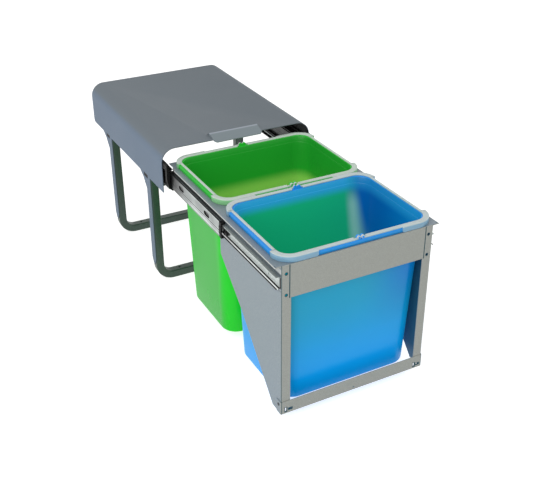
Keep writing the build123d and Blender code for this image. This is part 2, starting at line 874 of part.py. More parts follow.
def waste_bin(centre_y):
    """A bin with its rim and its two hinge lugs."""
    base = (bin_base_width / 2, bin_base_length / 2)
    mouth = (bin_mouth_width / 2, bin_mouth_length / 2)
    body = tub(base, mouth, bin_corner_radius, bin_floor_gap, rim_top)
    body = fillet(body.faces().sort_by(Axis.Z)[0].edges(), bin_base_radius)
    rim_radius = bin_corner_radius + rim_overhang
    body += along_z(RectangleRounded(2 * rim_half_width, 2 * rim_half_length, rim_radius), rim_under, rim_top)
    lip = rim_overhang - rim_wall
    groove = RectangleRounded(2 * (mouth[0] + lip), 2 * (mouth[1] + lip), bin_corner_radius + lip)
    groove -= RectangleRounded(2 * mouth[0], 2 * mouth[1], bin_corner_radius)
    body -= along_z(groove, rim_under - overrun, rim_top - rim_wall)
    inner_base = (base[0] - bin_wall, base[1] - bin_wall)
    inner_mouth = (mouth[0] - bin_wall, mouth[1] - bin_wall)
    inner_radius = bin_corner_radius - bin_wall
    hollow = tub(inner_base, inner_mouth, inner_radius, bin_floor_gap + bin_wall, rim_top + bin_wall)
    hollow = fillet(hollow.faces().sort_by(Axis.Z)[0].edges(), bin_base_radius - bin_wall)
    body -= hollow
    lug = hinge_lug()
    body += [lug, mirror(lug, about=Plane.XZ)]
    return Pos(bin_shift, centre_y, 0) * body


def lug_back():
    """Y of the lug's face that the handle eyes turn against, from the bin's middle."""
    return rim_half_length - handle_gap - eye_length - 2 * end_play - pin_head


def hinge_lug():
    """The rear lug of a bin, at the bin's middle: two humps, each with a hinge pin."""
    back = lug_back()
    front = back - lug_thickness
    half = hinge_spacing / 2
    lug = box((-half - lug_radius, half + lug_radius), (front, back), (rim_top - rim_wall / 2, hinge_level))
    for side in (-1, 1):
        lug += rod_y(front, back, side * half, hinge_level, lug_radius)
        pin_end = back + eye_length + 2 * end_play
        lug += rod_y(front, pin_end, side * half, hinge_level, hinge_pin_diameter / 2)
        lug += rod_y(pin_end, pin_end + pin_head, side * half, hinge_level, pin_head_radius)
    return lug


# Handles


def handle_ring():
    """Half of a flat ring in plan, on the right side of a bin, narrower between its skirts."""
    outer_radius = handle_inner_radius + handle_band
    ring = RectangleRounded(2 * ring_half_width, 2 * ring_half_length, outer_radius)
    ring -= RectangleRounded(2 * (ring_half_width - handle_band), 2 * (ring_half_length - handle_band),
                             handle_inner_radius)
    front_x = ring_half_width - skirt_front_length
    side_y = ring_half_length - skirt_side_length
    side_x = ring_half_width - handle_side_cut / 2
    ring -= Pos(side_x + overrun, 0) * Rectangle(handle_side_cut + 2 * overrun, 2 * side_y)
    for side in (-1, 1):
        cut_y = side * (ring_half_length - handle_front_cut / 2 + overrun)
        ring -= Pos(0, cut_y) * Rectangle(2 * front_x, handle_front_cut + 2 * overrun)
    return ring & Pos(handle_neck_start + ring_half_width / 2, 0) * Rectangle(
        ring_half_width, 2 * ring_half_length + overrun)


def handle_skirts():
    """Skirts under the two corners of the ring, outside the rim, in plan."""
    outer_radius = handle_inner_radius + handle_band
    skirt = RectangleRounded(2 * ring_half_width, 2 * ring_half_length, outer_radius)
    inner_half = (ring_half_width - handle_skirt, ring_half_length - handle_skirt)
    skirt -= RectangleRounded(2 * inner_half[0], 2 * inner_half[1], outer_radius - handle_skirt)
    corner_x = ring_half_width - skirt_front_length / 2
    corner_y = ring_half_length - skirt_side_length / 2
    corners = [Pos(corner_x, side * corner_y) * Rectangle(skirt_front_length, skirt_side_length)
               for side in (-1, 1)]
    return skirt & (corners[0] + corners[1])


def half_handle():
    """The right handle of a bin at the bin's middle: half ring, skirts, necks and eyes."""
    handle = along_z(handle_ring(), rim_top + handle_gap / 2, handle_top)
    handle += along_z(handle_skirts(), rim_under + handle_gap, handle_top - handle_thickness / 2)
    eye_x = hinge_spacing / 2
    start = lug_back() + end_play
    end = start + eye_length
    for side in (-1, 1):
        y0, y1 = sorted((side * start, side * end))
        neck = box((eye_x, handle_neck_start + overrun), (y0, y1), (rim_top + handle_gap, handle_top))
        eye = rod_y(y0, y1, eye_x, hinge_level, eye_radius)
        bore = rod_y(y0 - overrun, y1 + overrun, eye_x, hinge_level, hinge_pin_diameter / 2 + pin_clearance)
        handle = handle + neck + eye - bore
    return handle


def handle_pair(centre_y):
    """Left and right handle of one bin."""
    right = half_handle()
    place = Pos(bin_shift, centre_y, 0)
    return place * mirrored(right), place * right


def write(node, shape):
    """Write one node's STEP file."""
    shape.label = node
    export_step(shape, os.path.join("parts", node + ".step"))


def both_sides(node, solid):
    """Write a right piece and its mirror image."""
    write("right_" + node, solid)
    write("left_" + node, mirrored(solid))


def both_ball_sets(node, spheres):
    """Write the balls of a right cage and of its mirror image."""
    write("right_" + node, group(spheres))
    write("left_" + node, group([mirrored(sphere) for sphere in spheres]))


def main():
    os.makedirs("parts", exist_ok=True)
    write("front_bow", bow(front_bow_y))
    write("rear_bow", bow(rear_bow_y))
    write("bow_screws", bow_screws())
    both_sides("carrier", carrier())
    both_sides("carrier_cap", carrier_cap())
    both_sides("outer_rail", outer_rail())
    write("outer_rail_screws", outer_rail_screws())
    both_sides("middle_rail", middle_rail())
    both_sides("middle_buffer", middle_buffer())
    both_sides("inner_rail", inner_rail())
    write("inner_rail_rivets", inner_rail_rivets())
    both_sides("release_lever", release_lever())
    for name, parts in (("outer", outer_cage_parts()), ("inner", inner_cage_parts())):
        both_sides(name + "_cage", parts[0])
        both_ball_sets(name + "_balls", parts[1])
    right_panel = side_panel()
    cuts = stile_cuts()
    write("right_side_panel", right_panel - cuts)
    write("left_side_panel", mirrored(right_panel) - cuts)
    write("bin_tray", bin_tray())
    write("bottom_rail", bottom_rail() - cuts)
    write("frame_rivets", frame_rivets())
    write("top_cover", top_cover())
    write("cover_clips", cover_clips())
    for name, centre_y in (("front_bin", front_bin_y), ("rear_bin", rear_bin_y)):
        write(name, waste_bin(centre_y))
        left, right = handle_pair(centre_y)
        write(name + "_left_handle", left)
        write(name + "_right_handle", right)


main()
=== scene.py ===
"""Dresses the pull out bin frame: moulded bins and handles, softened sheet metal and finishes."""

import json
import math

import bmesh
import bpy
from mathutils import Matrix, Vector


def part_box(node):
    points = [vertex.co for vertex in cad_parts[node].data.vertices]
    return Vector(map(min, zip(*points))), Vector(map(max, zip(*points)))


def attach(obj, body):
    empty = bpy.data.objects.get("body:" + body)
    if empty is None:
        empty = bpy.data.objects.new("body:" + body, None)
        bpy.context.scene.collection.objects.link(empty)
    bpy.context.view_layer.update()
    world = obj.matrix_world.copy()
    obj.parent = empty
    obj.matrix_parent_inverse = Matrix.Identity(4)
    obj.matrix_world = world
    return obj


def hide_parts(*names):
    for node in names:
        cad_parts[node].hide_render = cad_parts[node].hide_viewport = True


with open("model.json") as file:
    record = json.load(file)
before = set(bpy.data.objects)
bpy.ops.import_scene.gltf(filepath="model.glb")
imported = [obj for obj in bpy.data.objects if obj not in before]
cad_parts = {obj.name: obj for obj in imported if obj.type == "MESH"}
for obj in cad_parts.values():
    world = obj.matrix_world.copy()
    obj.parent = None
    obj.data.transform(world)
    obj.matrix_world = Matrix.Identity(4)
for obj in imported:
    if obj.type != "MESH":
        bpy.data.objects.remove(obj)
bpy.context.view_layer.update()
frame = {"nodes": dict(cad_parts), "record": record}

bl_info = {
    "name": "Pull out bin frame",
    "version": (1, 0, 0),
    "blender": (4, 5, 0),
    "location": "View3D > Sidebar > Bin frame",
    "description": "Builds the bins, handles, sheet metal pieces and finishes of a pull out bin frame",
    "category": "Object",
}

MM = 0.001
SIDES = ("left", "right")
BINS = ("front_bin", "rear_bin")
PHOTO_WIDTH = 533
PHOTO_HEIGHT = 484
SENSOR_WIDTH = 36.0
CORNER_STEPS = 14
LOOK = "look_"
RAIL_LINES = 700.0

# Places in millimetres on the frame's front: seam, fold, band, holes, and slots with half their sizes
SEAM_X = 134.6
FOLD_X = 149.6
FRONT_BAND = 64
HOLE_X = 141
HOLE_DROPS = (16.3, 57.0)
SLOT_Z = 27.3
SLOTS = ((-141.0, (2.8, 5.4)), (-132.0, (4.6, 2.8)), (134.0, (2.8, 5.4)), (141.8, (4.6, 2.8)))

# Places in millimetres on the slides: slots in the web with their half length, and the lever's pin
WEB_SLOTS = (55, 175)
WEB_SLOT_REACH = 7.25
LEVER_PIN_Y = -476.7

# Heights in millimetres on the bins, between which their colours change
FOOT_LEVELS = (40, 230)
SHINE_LEVELS = (232, 262)
INNER_STEP = 317
RIM_LEVELS = (322, 331)


def row(name, description, default, **more):
    """A property of several numbers."""
    return bpy.props.FloatVectorProperty(name=name, description=description, default=default,
                                         size=len(default), **more)


def colour(name, description, *steps):
    """A colour property, written in 0 to 255 steps and kept in Blender's linear values."""
    shares = [step / 255 for step in steps]
    linear = [share / 12.92 if share <= 0.04045 else ((share + 0.055) / 1.055) ** 2.4 for share in shares]
    return row(name, description, linear, subtype="COLOR", min=0, max=1)


def length(name, description, default):
    """A length property, written in millimetres."""
    return number(name, description, default * MM, unit="LENGTH", precision=5)


def number(name, description, default, **more):
    """A plain number, an angle or a power."""
    return bpy.props.FloatProperty(name=name, description=description, default=default, **more)


# Settings


class BinSettings(bpy.types.PropertyGroup):
    """Sizes and colours of the two bins."""

    wall: length("Wall", "Thickness of the moulded wall", 1.8)
    upper_wall: length("Upper wall", "Thickness of the wall above the inner step", 1.1)
    step_drop: length("Step drop", "Distance of the inner step below the rim", 13.0)
    corner: length("Corner radius", "Radius of the upright corners", 32.6)
    base_round: length("Base radius", "Radius between wall and floor", 6.0)
    base_width: length("Base width", "Width of the bin at its floor", 268.8)
    base_length: length("Base length", "Length of the bin at its floor", 184.0)
    overhang: length("Rim overhang", "How far the rim stands out from the mouth", 8.0)
    rim_wall: length("Rim wall", "Thickness of the rim", 1.6)
    rim_height: length("Rim height", "Height of the rolled rim", 8.5)
    hinge_rise: length("Hinge rise", "Height of the hinge pins above the rim", 3.5)
    hinge_spacing: length("Hinge spacing", "Distance between the two hinge pins", 7.6)
    lug_radius: length("Lug radius", "Radius of the humps round the pins", 3.6)
    lug_thickness: length("Lug thickness", "Thickness of the hinge lugs", 3.0)
    lug_setback: length("Lug setback", "Distance of the lugs from the rim's edge", 4.6)
    pin_radius: length("Pin radius", "Radius of the hinge pins", 1.5)
    pin_length: length("Pin length", "How far the pins stand out", 3.6)
    pin_head: length("Pin head", "Thickness of the pins' heads", 0.7)
    blue: colour("Blue", "Colour of the front bin", 6, 146, 208)
    blue_rim: colour("Blue rim", "Colour of the front bin's rim", 44, 158, 238)
    blue_band: colour("Blue band", "Inner colour of the front bin above its step", 44, 158, 204)
    blue_pale: colour("Pale corner", "Light in the front bin's inner corner", 150, 196, 178)
    blue_deep: colour("Deep blue", "Colour of the front bin where it is shaded", 0, 86, 160)
    blue_shine: colour("Green through blue", "Inner colour where green shines through", 22, 170, 120)
    # Painted shade: the front bin's upper right part is laid deeper
    blue_side_shade: colour("Blue side", "Deeper colour of the front bin's right side", 0, 104, 214)
    blue_foot: colour("Blue foot", "Brighter colour low on the front bin", 0, 162, 250)
    # Painted light: the bins' walls glow of their own, standing in for light that comes through them
    blue_glow: colour("Blue glow", "Light that comes through the front bin's walls", 14, 184, 190)
    glow: number("Glow", "Light that comes through the walls", 0.34, min=0)
    green: colour("Green", "Colour of the rear bin", 48, 184, 58)
    # Painted light: the rear bin's upright corners are laid more vivid, standing in for light through the
    # curved wall
    green_corner_shine: colour("Vivid green", "Colour of the rear bin's upright corners", 30, 214, 40)
    green_rim: colour("Green rim", "Colour of the rear bin's rim", 40, 196, 56)
    green_deep: colour("Deep green", "Inner colour of the rear bin's upper part", 32, 152, 44)
    green_shine: colour("Light through green", "Inner colour of the rear bin's lower part", 146, 196, 92)


class HandleSettings(bpy.types.PropertyGroup):
    """Sizes and colour of the hinged half rings."""

    band: length("Band", "Width of the flat ring", 10.7)
    side_cut: length("Side cut", "Narrowing between the side skirts", 6.0)
    front_cut: length("Front cut", "Narrowing between the front skirts", 2.8)
    thickness: length("Thickness", "Thickness of the flat ring", 2.85)
    rise: length("Rise", "Height of the ring's top above the rim", 3.0)
    inner_corner: length("Inner corner", "Inner corner radius of the ring", 25.0)
    skirt: length("Skirt", "Thickness of the skirts at the corners", 1.5)
    skirt_depth: length("Skirt depth", "How far the skirts hang below the ring", 8.3)
    skirt_front: length("Skirt front", "Length of a skirt along the front", 72.0)
    skirt_side: length("Skirt side", "Length of a skirt along the side", 36.0)
    neck_start: length("Neck start", "Distance of the ring's ends from the middle", 12.0)
    neck_setback: length("Neck setback", "Distance of the necks from the ring's edge", 6.2)
    neck_width: length("Neck width", "Width of the necks that carry the eyes", 3.2)
    eye_radius: length("Eye radius", "Radius of the eyes round the hinge pins", 3.2)
    eye_bore: length("Eye bore", "Radius of the hole in the eyes", 1.58)
    milk: colour("Milk", "Colour of the natural plastic", 212, 220, 216)


class FinishSettings(bpy.types.PropertyGroup):
    """Colours of the metal and the plain mouldings."""

    cover: colour("Cover", "Colour of the moulded cover", 111, 120, 127)
    cover_shade: colour("Cover shade", "Darker drift in the cover's colour", 108, 117, 124)
    # Painted light and shade on the cover: shade on its far side and inner faces, light on its lip and
    # upright sides, a highlight on the lip's ridge
    cover_far_shade: colour("Cover far side", "Colour of the cover's far side", 72, 84, 90)
    cover_lip_light: colour("Cover lip", "Lighter colour of the finger lip", 126, 137, 142)
    cover_crest_highlight: colour("Cover crest", "Colour of the lip's ridge", 170, 178, 190)
    cover_inside_shade: colour("Cover inside", "Colour of the cover's inner faces", 20, 24, 24)
    cover_side_light: colour("Cover side", "Cooler colour of the cover's upright sides", 108, 124, 143)
    black: colour("Black plastic", "Colour of caps, clips, buffers and levers", 10, 10, 11)
    bow: colour("Bow", "Powder coat of the bows", 50, 70, 60)
    bow_fleck: colour("Bow fleck", "Flecks in the bows' coat", 110, 122, 120)
    carrier: colour("Carrier", "Paint of the carriers", 14, 14, 15)
    carrier_fleck: colour("Carrier fleck", "Flecks in the carriers' paint", 60, 60, 62)
    zinc: colour("Zinc", "Colour of the slides and fixings", 200, 207, 205)
    strip: colour("Strip steel", "Colour of the ball cages", 46, 47, 48)
    frame_steel: colour("Frame steel", "Powder coat of the drawer frame", 128, 141, 150)
    # Painted light: the frame's front faces are laid lighter and warmer than its sides
    frame_front_light: colour("Frame front", "Powder coat of the frame's front", 154, 157, 150)
    # Painted shade and a painted blue reflection on the side panels' inner faces
    panel_inside_shade: colour("Panel inside", "Inner faces of the side panels", 12, 84, 110)
    # Dark seams, and painted shade along the folds and round the holes and slots in front
    seam: colour("Seam", "Seams and borders in the frame's front", 30, 72, 80)
    # The fleck colour is also laid on as painted light above the slides and as a painted highlight on the
    # tray's edge
    fleck: colour("Fleck", "Metal flecks in the drawer frame's coat", 205, 208, 205)
    cover_round: length("Cover radius", "Radius of the cover's long edges", 30.0)
    cover_wall: length("Cover wall", "Thickness of the cover", 1.8)
    lip_ridge: length("Lip ridge", "Height of the lip's ridge above the cover", 6.5)
    lip_half: length("Lip half width", "Half the width of the finger lip", 54.6)
    lip_length: length("Lip length", "How far the finger lip reaches back", 27.0)
    edge_softness: length("Edge softness", "Width of the softened edges of sheet metal", 0.28)


class StageSettings(bpy.types.PropertyGroup):
    """Camera and light."""

    lens: number("Focal length", "Focal length on a 36 mm sensor", 58.73, min=1, unit="CAMERA")
    azimuth: number("Azimuth", "Camera's turn round the object", math.radians(-27.83), unit="ROTATION")
    elevation: number("Elevation", "Camera's height angle", math.radians(28.95), unit="ROTATION")
    roll: number("Roll", "Camera's turn about its view", math.radians(-0.16), unit="ROTATION")
    place: row("Place", "Camera's place", (-0.7178, -1.7251, 1.0351), subtype="TRANSLATION")
    centre: row("Picture centre", "Optical axis in the photo", (272.41, 236.62))
    key: number("Key light", "Power of the large lamp", 46.0, min=0, unit="POWER")
    fill: number("Fill light", "Power of the small lamp", 12.0, min=0, unit="POWER")
    sky: number("Sky", "Even light from all round", 0.5, min=0)
    lift: number("Lift", "Light of the floor's own where it is seen", 0.68, min=0)
    floor: row("Floor", "Colour of the floor", (0.8, 0.8, 0.8), subtype="COLOR")


# Nodes


class Output:
    """An output of a shader node. Arithmetic with it adds Math nodes."""

    def __init__(self, socket):
        self.socket = socket
        self.tree = socket.id_data

    def __add__(self, other):
        return calculate("ADD", self, other)

    def __sub__(self, other):
        return calculate("SUBTRACT", self, other)

    def __rsub__(self, other):
        return calculate("SUBTRACT", other, self)

    def __mul__(self, other):
        return calculate("MULTIPLY", self, other)

    def __abs__(self):
        return calculate("ABSOLUTE", self)


def feed(socket, value):
    """Give an input a value, a colour without its alpha, or another node's output."""
    if isinstance(value, Output):
        value.tree.links.new(value.socket, socket)
    elif socket.type == "RGBA":
        socket.default_value = (*value, 1.0)
    else:
        socket.default_value = value


def add_node(tree, kind, inputs=None, **settings):
    """Add a node, then set its settings and its inputs."""
    node = tree.nodes.new(kind)
    for name, value in settings.items():
        setattr(node, name, value)
    for name, value in (inputs or {}).items():
        feed(node.inputs[name], value)
    return node


def result(tree, kind, inputs, name=0, **settings):
    """Add a node and return one of its outputs."""
    return Output(add_node(tree, kind, inputs, **settings).outputs[name])


def calculate(operation, *values, clamp=False):
    """Add a Math node."""
    tree = next(value.tree for value in values if isinstance(value, Output))
    return result(tree, "ShaderNodeMath", dict(enumerate(values)), operation=operation, use_clamp=clamp)


def most(first, *others):
    """The highest of some values."""
    for value in others:
        first = calculate("MAXIMUM", first, value)
    return first


def blend(factor, first, second, mode="MIX"):
    """Mix two colours."""
    tree = next(value.tree for value in (factor, first, second) if isinstance(value, Output))
    return result(tree, "ShaderNodeMix", {0: factor, 6: first, 7: second}, 2,
                  data_type="RGBA", blend_type=mode, clamp_factor=True)


def layer(tint, *shades):
    """Lay colours over a first one, each by its own mask."""
    for mask, shade in shades:
        tint = blend(mask, tint, shade)
    return tint


def ramp(value, low, high):
    """Turn a value between two limits into a smooth mask."""
    return result(value.tree, "ShaderNodeMapRange", {"Value": value, "From Min": low, "From Max": high},
                  interpolation_type="SMOOTHSTEP")


def fade(value, middle, low, high):
    """A smooth mask between two distances in millimetres from a place."""
    return ramp(value, middle + low * MM, middle + high * MM)


def past(value, limit):
    """How far a value is past a limit."""
    return most(value - limit, 0.0)


def distance(first, second):
    """The length of a slope with two legs."""
    return calculate("SQRT", first * first + second * second)


def noise(vector, scale, detail, roughness=0.5):
    """A noise texture's value."""
    return result(vector.tree, "ShaderNodeTexNoise",
                  {"Vector": vector, "Scale": scale, "Detail": detail, "Roughness": roughness})


def position(tree):
    """The place of each point on its object."""
    return result(tree, "ShaderNodeTexCoord", {}, "Object")


def place(tree):
    """The X, Y and Z of each point on its object."""
    split = add_node(tree, "ShaderNodeSeparateXYZ", {"Vector": position(tree)})
    return [Output(split.outputs[axis]) for axis in "XYZ"]


# Node groups


def moulded_grain(scale):
    """Fine spark-eroded grain of a mould, as a height."""
    vector = position(scale.tree)
    pits = result(scale.tree, "ShaderNodeTexVoronoi", {"Vector": vector, "Scale": scale}, "Distance")
    return [noise(vector, scale, 2.0, 0.6) + pits]


def colour_drift(light, dark, scale, roughness):
    """Slow drift between two close colours, with a little change of gloss."""
    mask = ramp(noise(position(scale.tree), scale, 3.0), 0.15, 0.85)
    return blend(mask, dark, light), mask * 0.08 + roughness


def metal_flecks(base, fleck, scale, amount):
    """Small metal flecks in a powder coat: the colour, a mask of the flecks and a height."""
    vector = position(scale.tree)
    cells = result(scale.tree, "ShaderNodeTexVoronoi", {"Vector": vector, "Scale": scale}, "Color")
    random = result(scale.tree, "ShaderNodeSeparateColor", {"Color": cells})
    flecks = ramp(random, 0.55, 0.98) * amount
    shaded = blend(ramp(random, 0.4, 0.05) * 0.16, base, (0.05, 0.05, 0.05))
    return blend(flecks, shaded, fleck), flecks, noise(vector, 420.0, 1.0)


def drawn_zinc(base, scale):
    """Fine lines along Y left by drawing or rolling, with cloudy zinc: colour, roughness and height."""
    vector = position(scale.tree)
    stretched = result(scale.tree, "ShaderNodeVectorMath", {0: vector, 1: (1.0, 0.02, 1.0)},
                       operation="MULTIPLY")
    lines = noise(stretched, scale, 3.0)
    cloudy = ramp(noise(vector, 38.0, 4.0), 0.35, 0.7)
    shade = (cloudy * -0.16 + 1.0) * (lines * 0.14 + 0.93)
    grey = result(scale.tree, "ShaderNodeCombineColor", {"Red": shade, "Green": shade, "Blue": shade})
    return blend(1.0, base, grey, "MULTIPLY"), lines * 0.1 + (cloudy * 0.12 + 0.26), lines


def narrow_line(value, centre, width):
    """A mask that is one on a narrow line where a value passes its centre."""
    widths = calculate("DIVIDE", abs(value - centre), width)
    return [calculate("SUBTRACT", 2.0, widths, clamp=True)]


def level_band(low, high, softness):
    """A mask that is one between two heights, with soft borders."""
    z = place(low.tree)[2]
    rise, fall = [calculate("DIVIDE", height, softness, clamp=True) for height in (z - low, high - z)]
    return [rise * fall]


def make_group(name, build, outputs, **inputs):
    """Build a shader node group: labels of its outputs, and its inputs with their defaults."""
    tree = bpy.data.node_groups.new(name, "ShaderNodeTree")
    for label, default in inputs.items():
        kind = "NodeSocketColor" if isinstance(default, tuple) else "NodeSocketFloat"
        tree.interface.new_socket(label, in_out="INPUT", socket_type=kind).default_value = default
    for label in outputs:
        kind = "NodeSocketColor" if label == "Color" else "NodeSocketFloat"
        tree.interface.new_socket(label, in_out="OUTPUT", socket_type=kind)
    given = [Output(socket) for socket in tree.nodes.new("NodeGroupInput").outputs[:len(inputs)]]
    ends = tree.nodes.new("NodeGroupOutput").inputs
    for label, value in zip(outputs, build(*given)):
        feed(ends[label], value)


def make_groups():
    """Build the node groups that several materials use."""
    make_group("Moulded grain", moulded_grain, ["Height"], Scale=1400.0)
    make_group("Colour drift", colour_drift, ["Color", "Roughness"],
               Light=(1, 1, 1, 1), Dark=(0.5, 0.5, 0.5, 1), Scale=9.0, Roughness=0.5)
    make_group("Metal flecks", metal_flecks, ["Color", "Mask", "Height"],
               Color=(0.4, 0.4, 0.4, 1), Fleck=(0.6, 0.6, 0.6, 1), Scale=1700.0, Amount=0.5)
    make_group("Drawn zinc", drawn_zinc, ["Color", "Roughness", "Height"],
               Color=(0.6, 0.6, 0.6, 1), Scale=700.0)
    make_group("Narrow line", narrow_line, ["Mask"], Value=0.0, Centre=0.0, Width=0.0005)
    make_group("Level band", level_band, ["Mask"], Low=0.0, High=1.0, Softness=0.0005)


def use_group(tree, name, **inputs):
    """Place a shader node group with its own values and return its outputs by label."""
    node = add_node(tree, "ShaderNodeGroup", inputs, node_tree=bpy.data.node_groups[name])
    return {socket.name: Output(socket) for socket in node.outputs}


# Masks, with their sizes in millimetres


def line(value, centre, width):
    """A narrow line where a value passes a place."""
    return use_group(value.tree, "Narrow line", Value=value, Centre=centre, Width=width * MM)["Mask"]


def band(tree, low, high, softness=0.5):
    """A band between two heights."""
    return use_group(tree, "Level band", Low=low * MM, High=high * MM, Softness=softness * MM)["Mask"]


def shade_bands(tint, *bands):
    """Lay colours over a first one between pairs of heights."""
    for low, high, shade, strength in bands:
        tint = blend(band(tint.tree, low, high, 0.8) * strength, tint, shade)
    return tint


def round_mark(first, second, centre, radius):
    """A disc round a centre, from the distances along two axes."""
    return fade(distance(first - centre[0] * MM, second - centre[1] * MM), 0.0, radius + 0.7, radius)


def box_mark(first, second, centre, half):
    """A rectangle round a centre, from the distances along two axes."""
    sides = [fade(abs(value - middle * MM), 0.0, reach + 0.5, reach)
             for value, middle, reach in zip((first, second), centre, half)]
    return sides[0] * sides[1]


def front_marks(x, z, top):
    """The dark borders of seams, with painted shade at the folds and round the holes and slots, on the front
    of the drawer frame.
    """
    across = abs(x)
    marks = [line(across, SEAM_X * MM, 0.7) * band(x.tree, top - FRONT_BAND, top),
             line(across, FOLD_X * MM, 0.6) * 0.8]
    marks += [round_mark(across, z, (HOLE_X, top - drop), 2.9) for drop in HOLE_DROPS]
    marks += [box_mark(x, z, (slot_x, SLOT_Z), half) for slot_x, half in SLOTS]
    return most(*marks)


def corner_mask(tree):
    """The rear bin's upright corners."""
    low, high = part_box("rear_bin")
    away = abs(place(tree)[1] - (low.y + high.y) / 2)
    return fade(away, (high.y - low.y) / 2, -62, -26)


def right_mask(tree):
    """The front bin's upper right part."""
    x, _, z = place(tree)
    return fade(x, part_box("front_bin")[1].x, -150, -20) * fade(z, 0.0, 100, 260)


# Materials


def clean_tree(owner):
    """Start the nodes of a material or a world."""
    owner.use_nodes = True
    owner.node_tree.nodes.clear()
    return owner.node_tree


def give(shader, **inputs):
    """Give a shader's inputs their values. An underscore stands for a space."""
    for label, value in inputs.items():
        feed(shader.inputs[label.replace("_", " ")], value)


def start_material(name, **inputs):
    """Start a material and return its Principled shader."""
    tree = clean_tree(bpy.data.materials.new(LOOK + name))
    shader = add_node(tree, "ShaderNodeBsdfPrincipled")
    give(shader, **inputs)
    add_node(tree, "ShaderNodeOutputMaterial", {"Surface": Output(shader.outputs[0])})
    return shader


def bump(shader, height, depth):
    """Feed a height into the shader's normal."""
    give(shader, Normal=result(shader.id_data, "ShaderNodeBump",
                               {"Height": height, "Distance": depth, "Strength": 1.0}))


def grain(shader, scale, depth):
    """Give a moulded surface its grain."""
    bump(shader, use_group(shader.id_data, "Moulded grain", Scale=scale)["Height"], depth)


def drift(shader, light, dark, roughness, scale=9.0):
    """Give a shader a colour and a gloss that drift slowly, and return the colour."""
    both = use_group(shader.id_data, "Colour drift", Light=light, Dark=dark, Scale=scale,
                     Roughness=roughness)
    give(shader, Base_Color=both["Color"], Roughness=both["Roughness"])
    return both["Color"]


def moulded(name, light, dark, roughness, scale, depth, gloss):
    """A plain moulded plastic. Return its shader and its colour."""
    shader = start_material(name, Specular_IOR_Level=gloss)
    grain(shader, scale, depth)
    return shader, drift(shader, light, dark, roughness)


def cover_plastic(finish):
    """The cover's moulded plastic, with painted light on its upright sides and finger lip, painted shade on
    its far side and inner faces, and a painted highlight on the lip's ridge.
    """
    shader, tint = moulded("cover", finish.cover, finish.cover_shade, 0.56, 1500.0, 0.00005, 0.4)
    x, y, z = place(shader.id_data)
    across = abs(x)
    low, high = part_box("top_cover")
    legs = (past(across, high.x - finish.cover_round),
            past(z, high.z - finish.lip_ridge - finish.cover_round))
    inside = fade(distance(*legs), finish.cover_round - finish.cover_wall, 0.6, 0.2)
    lip = fade(across, finish.lip_half, 1, 0) * fade(y, low.y + finish.lip_length, 2, 0)
    # Painted shade on the far side and inner faces, painted light on the upright sides and lip, a painted
    # highlight on the ridge
    give(shader, Base_Color=layer(
        tint,
        (ramp(x, low.x, high.x) * 0.3, finish.cover_far_shade),
        (fade(across, high.x, -8, -0.5), finish.cover_side_light),
        (inside * fade(y, high.y, -9, -10), finish.cover_inside_shade),
        (lip, finish.cover_lip_light),
        (fade(z, high.z, -1.6, -0.4) * 0.8, finish.cover_crest_highlight)))


def coat(shader, base, fleck, amount, metallic):
    """Give a shader a powder coat with metal flecks, and return its colour."""
    flecks = use_group(shader.id_data, "Metal flecks", Color=base, Fleck=fleck, Amount=amount)
    give(shader, Base_Color=flecks["Color"], Metallic=flecks["Mask"] * 0.3 + metallic)
    bump(shader, flecks["Height"], 0.00006)
    return flecks["Color"]


def frame_coat(finish):
    """The drawer frame's coat: cool on its sides, lighter and warmer in front as painted light, with painted
    shade beside the slides and painted highlights above them and on the tray's edge.
    """
    shader = start_material("frame_steel", Roughness=0.42, Coat_Roughness=0.3)
    x, y, z = place(shader.id_data)
    across = abs(x)
    tray_low, tray_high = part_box("bin_tray")
    rail_low, rail_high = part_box("left_inner_rail")
    face, foot, head = -rail_high.x, rail_low.z / MM, rail_high.z / MM
    front = fade(y, tray_low.y, 1.4, 0.8)
    behind = 1.0 - front
    # Painted light: the front faces are laid lighter and warmer than the sides
    base = blend(front, finish.frame_steel, finish.frame_front_light)
    plain = coat(shader, base, finish.fleck, 0.22, 0.1)
    # Painted shade just above and just below the rails, and painted light in the fleck colour higher up
    # under the tray
    shaded = shade_bands(plain, (head, head + 5.5, finish.carrier, 0.6),
                         (head + 5.5, head + 15, finish.fleck, 0.7),
                         (foot - 6.5, foot - 3, finish.carrier, 0.35))
    # Painted shade: black on the panels in the gap before the rails' front ends
    gap_shade = shade_bands(shaded, (foot, head, finish.black, 0.95))
    shaded = blend(fade(y, rail_low.y, 0.6, -0.2), shaded, gap_shade)
    tint = blend(fade(across, face, -0.8, -0.2) * behind, plain, shaded)
    # Painted shade and a painted blue reflection on the side panels' inner faces
    inward = fade(across, face, -2.4, -1.6) * fade(across, face, -0.8, -1.1) * behind
    top = tray_high.z / MM
    give(shader, Base_Color=layer(
        tint,
        (inward, shade_bands(tint, (0, top - 3.6, finish.panel_inside_shade, 0.9))),
        # A painted highlight along the tray's edge, in the fleck colour
        (fade(across, tray_high.x, -1.2, -0.4), finish.fleck),
        # Dark seams, with painted shade at the folds and round the holes and slots
        (front_marks(x, z, top) * front, finish.seam)))


def zinc(name, base, scale, *bands):
    """Bright zinc on drawn steel, shaded between some heights. Return its shader and its colour."""
    shader = start_material(name, Metallic=0.85)
    drawn = use_group(shader.id_data, "Drawn zinc", Color=base, Scale=scale)
    tint = shade_bands(drawn["Color"], *bands)
    give(shader, Base_Color=tint, Roughness=drawn["Roughness"])
    bump(shader, drawn["Height"], 0.00004)
    return shader, tint


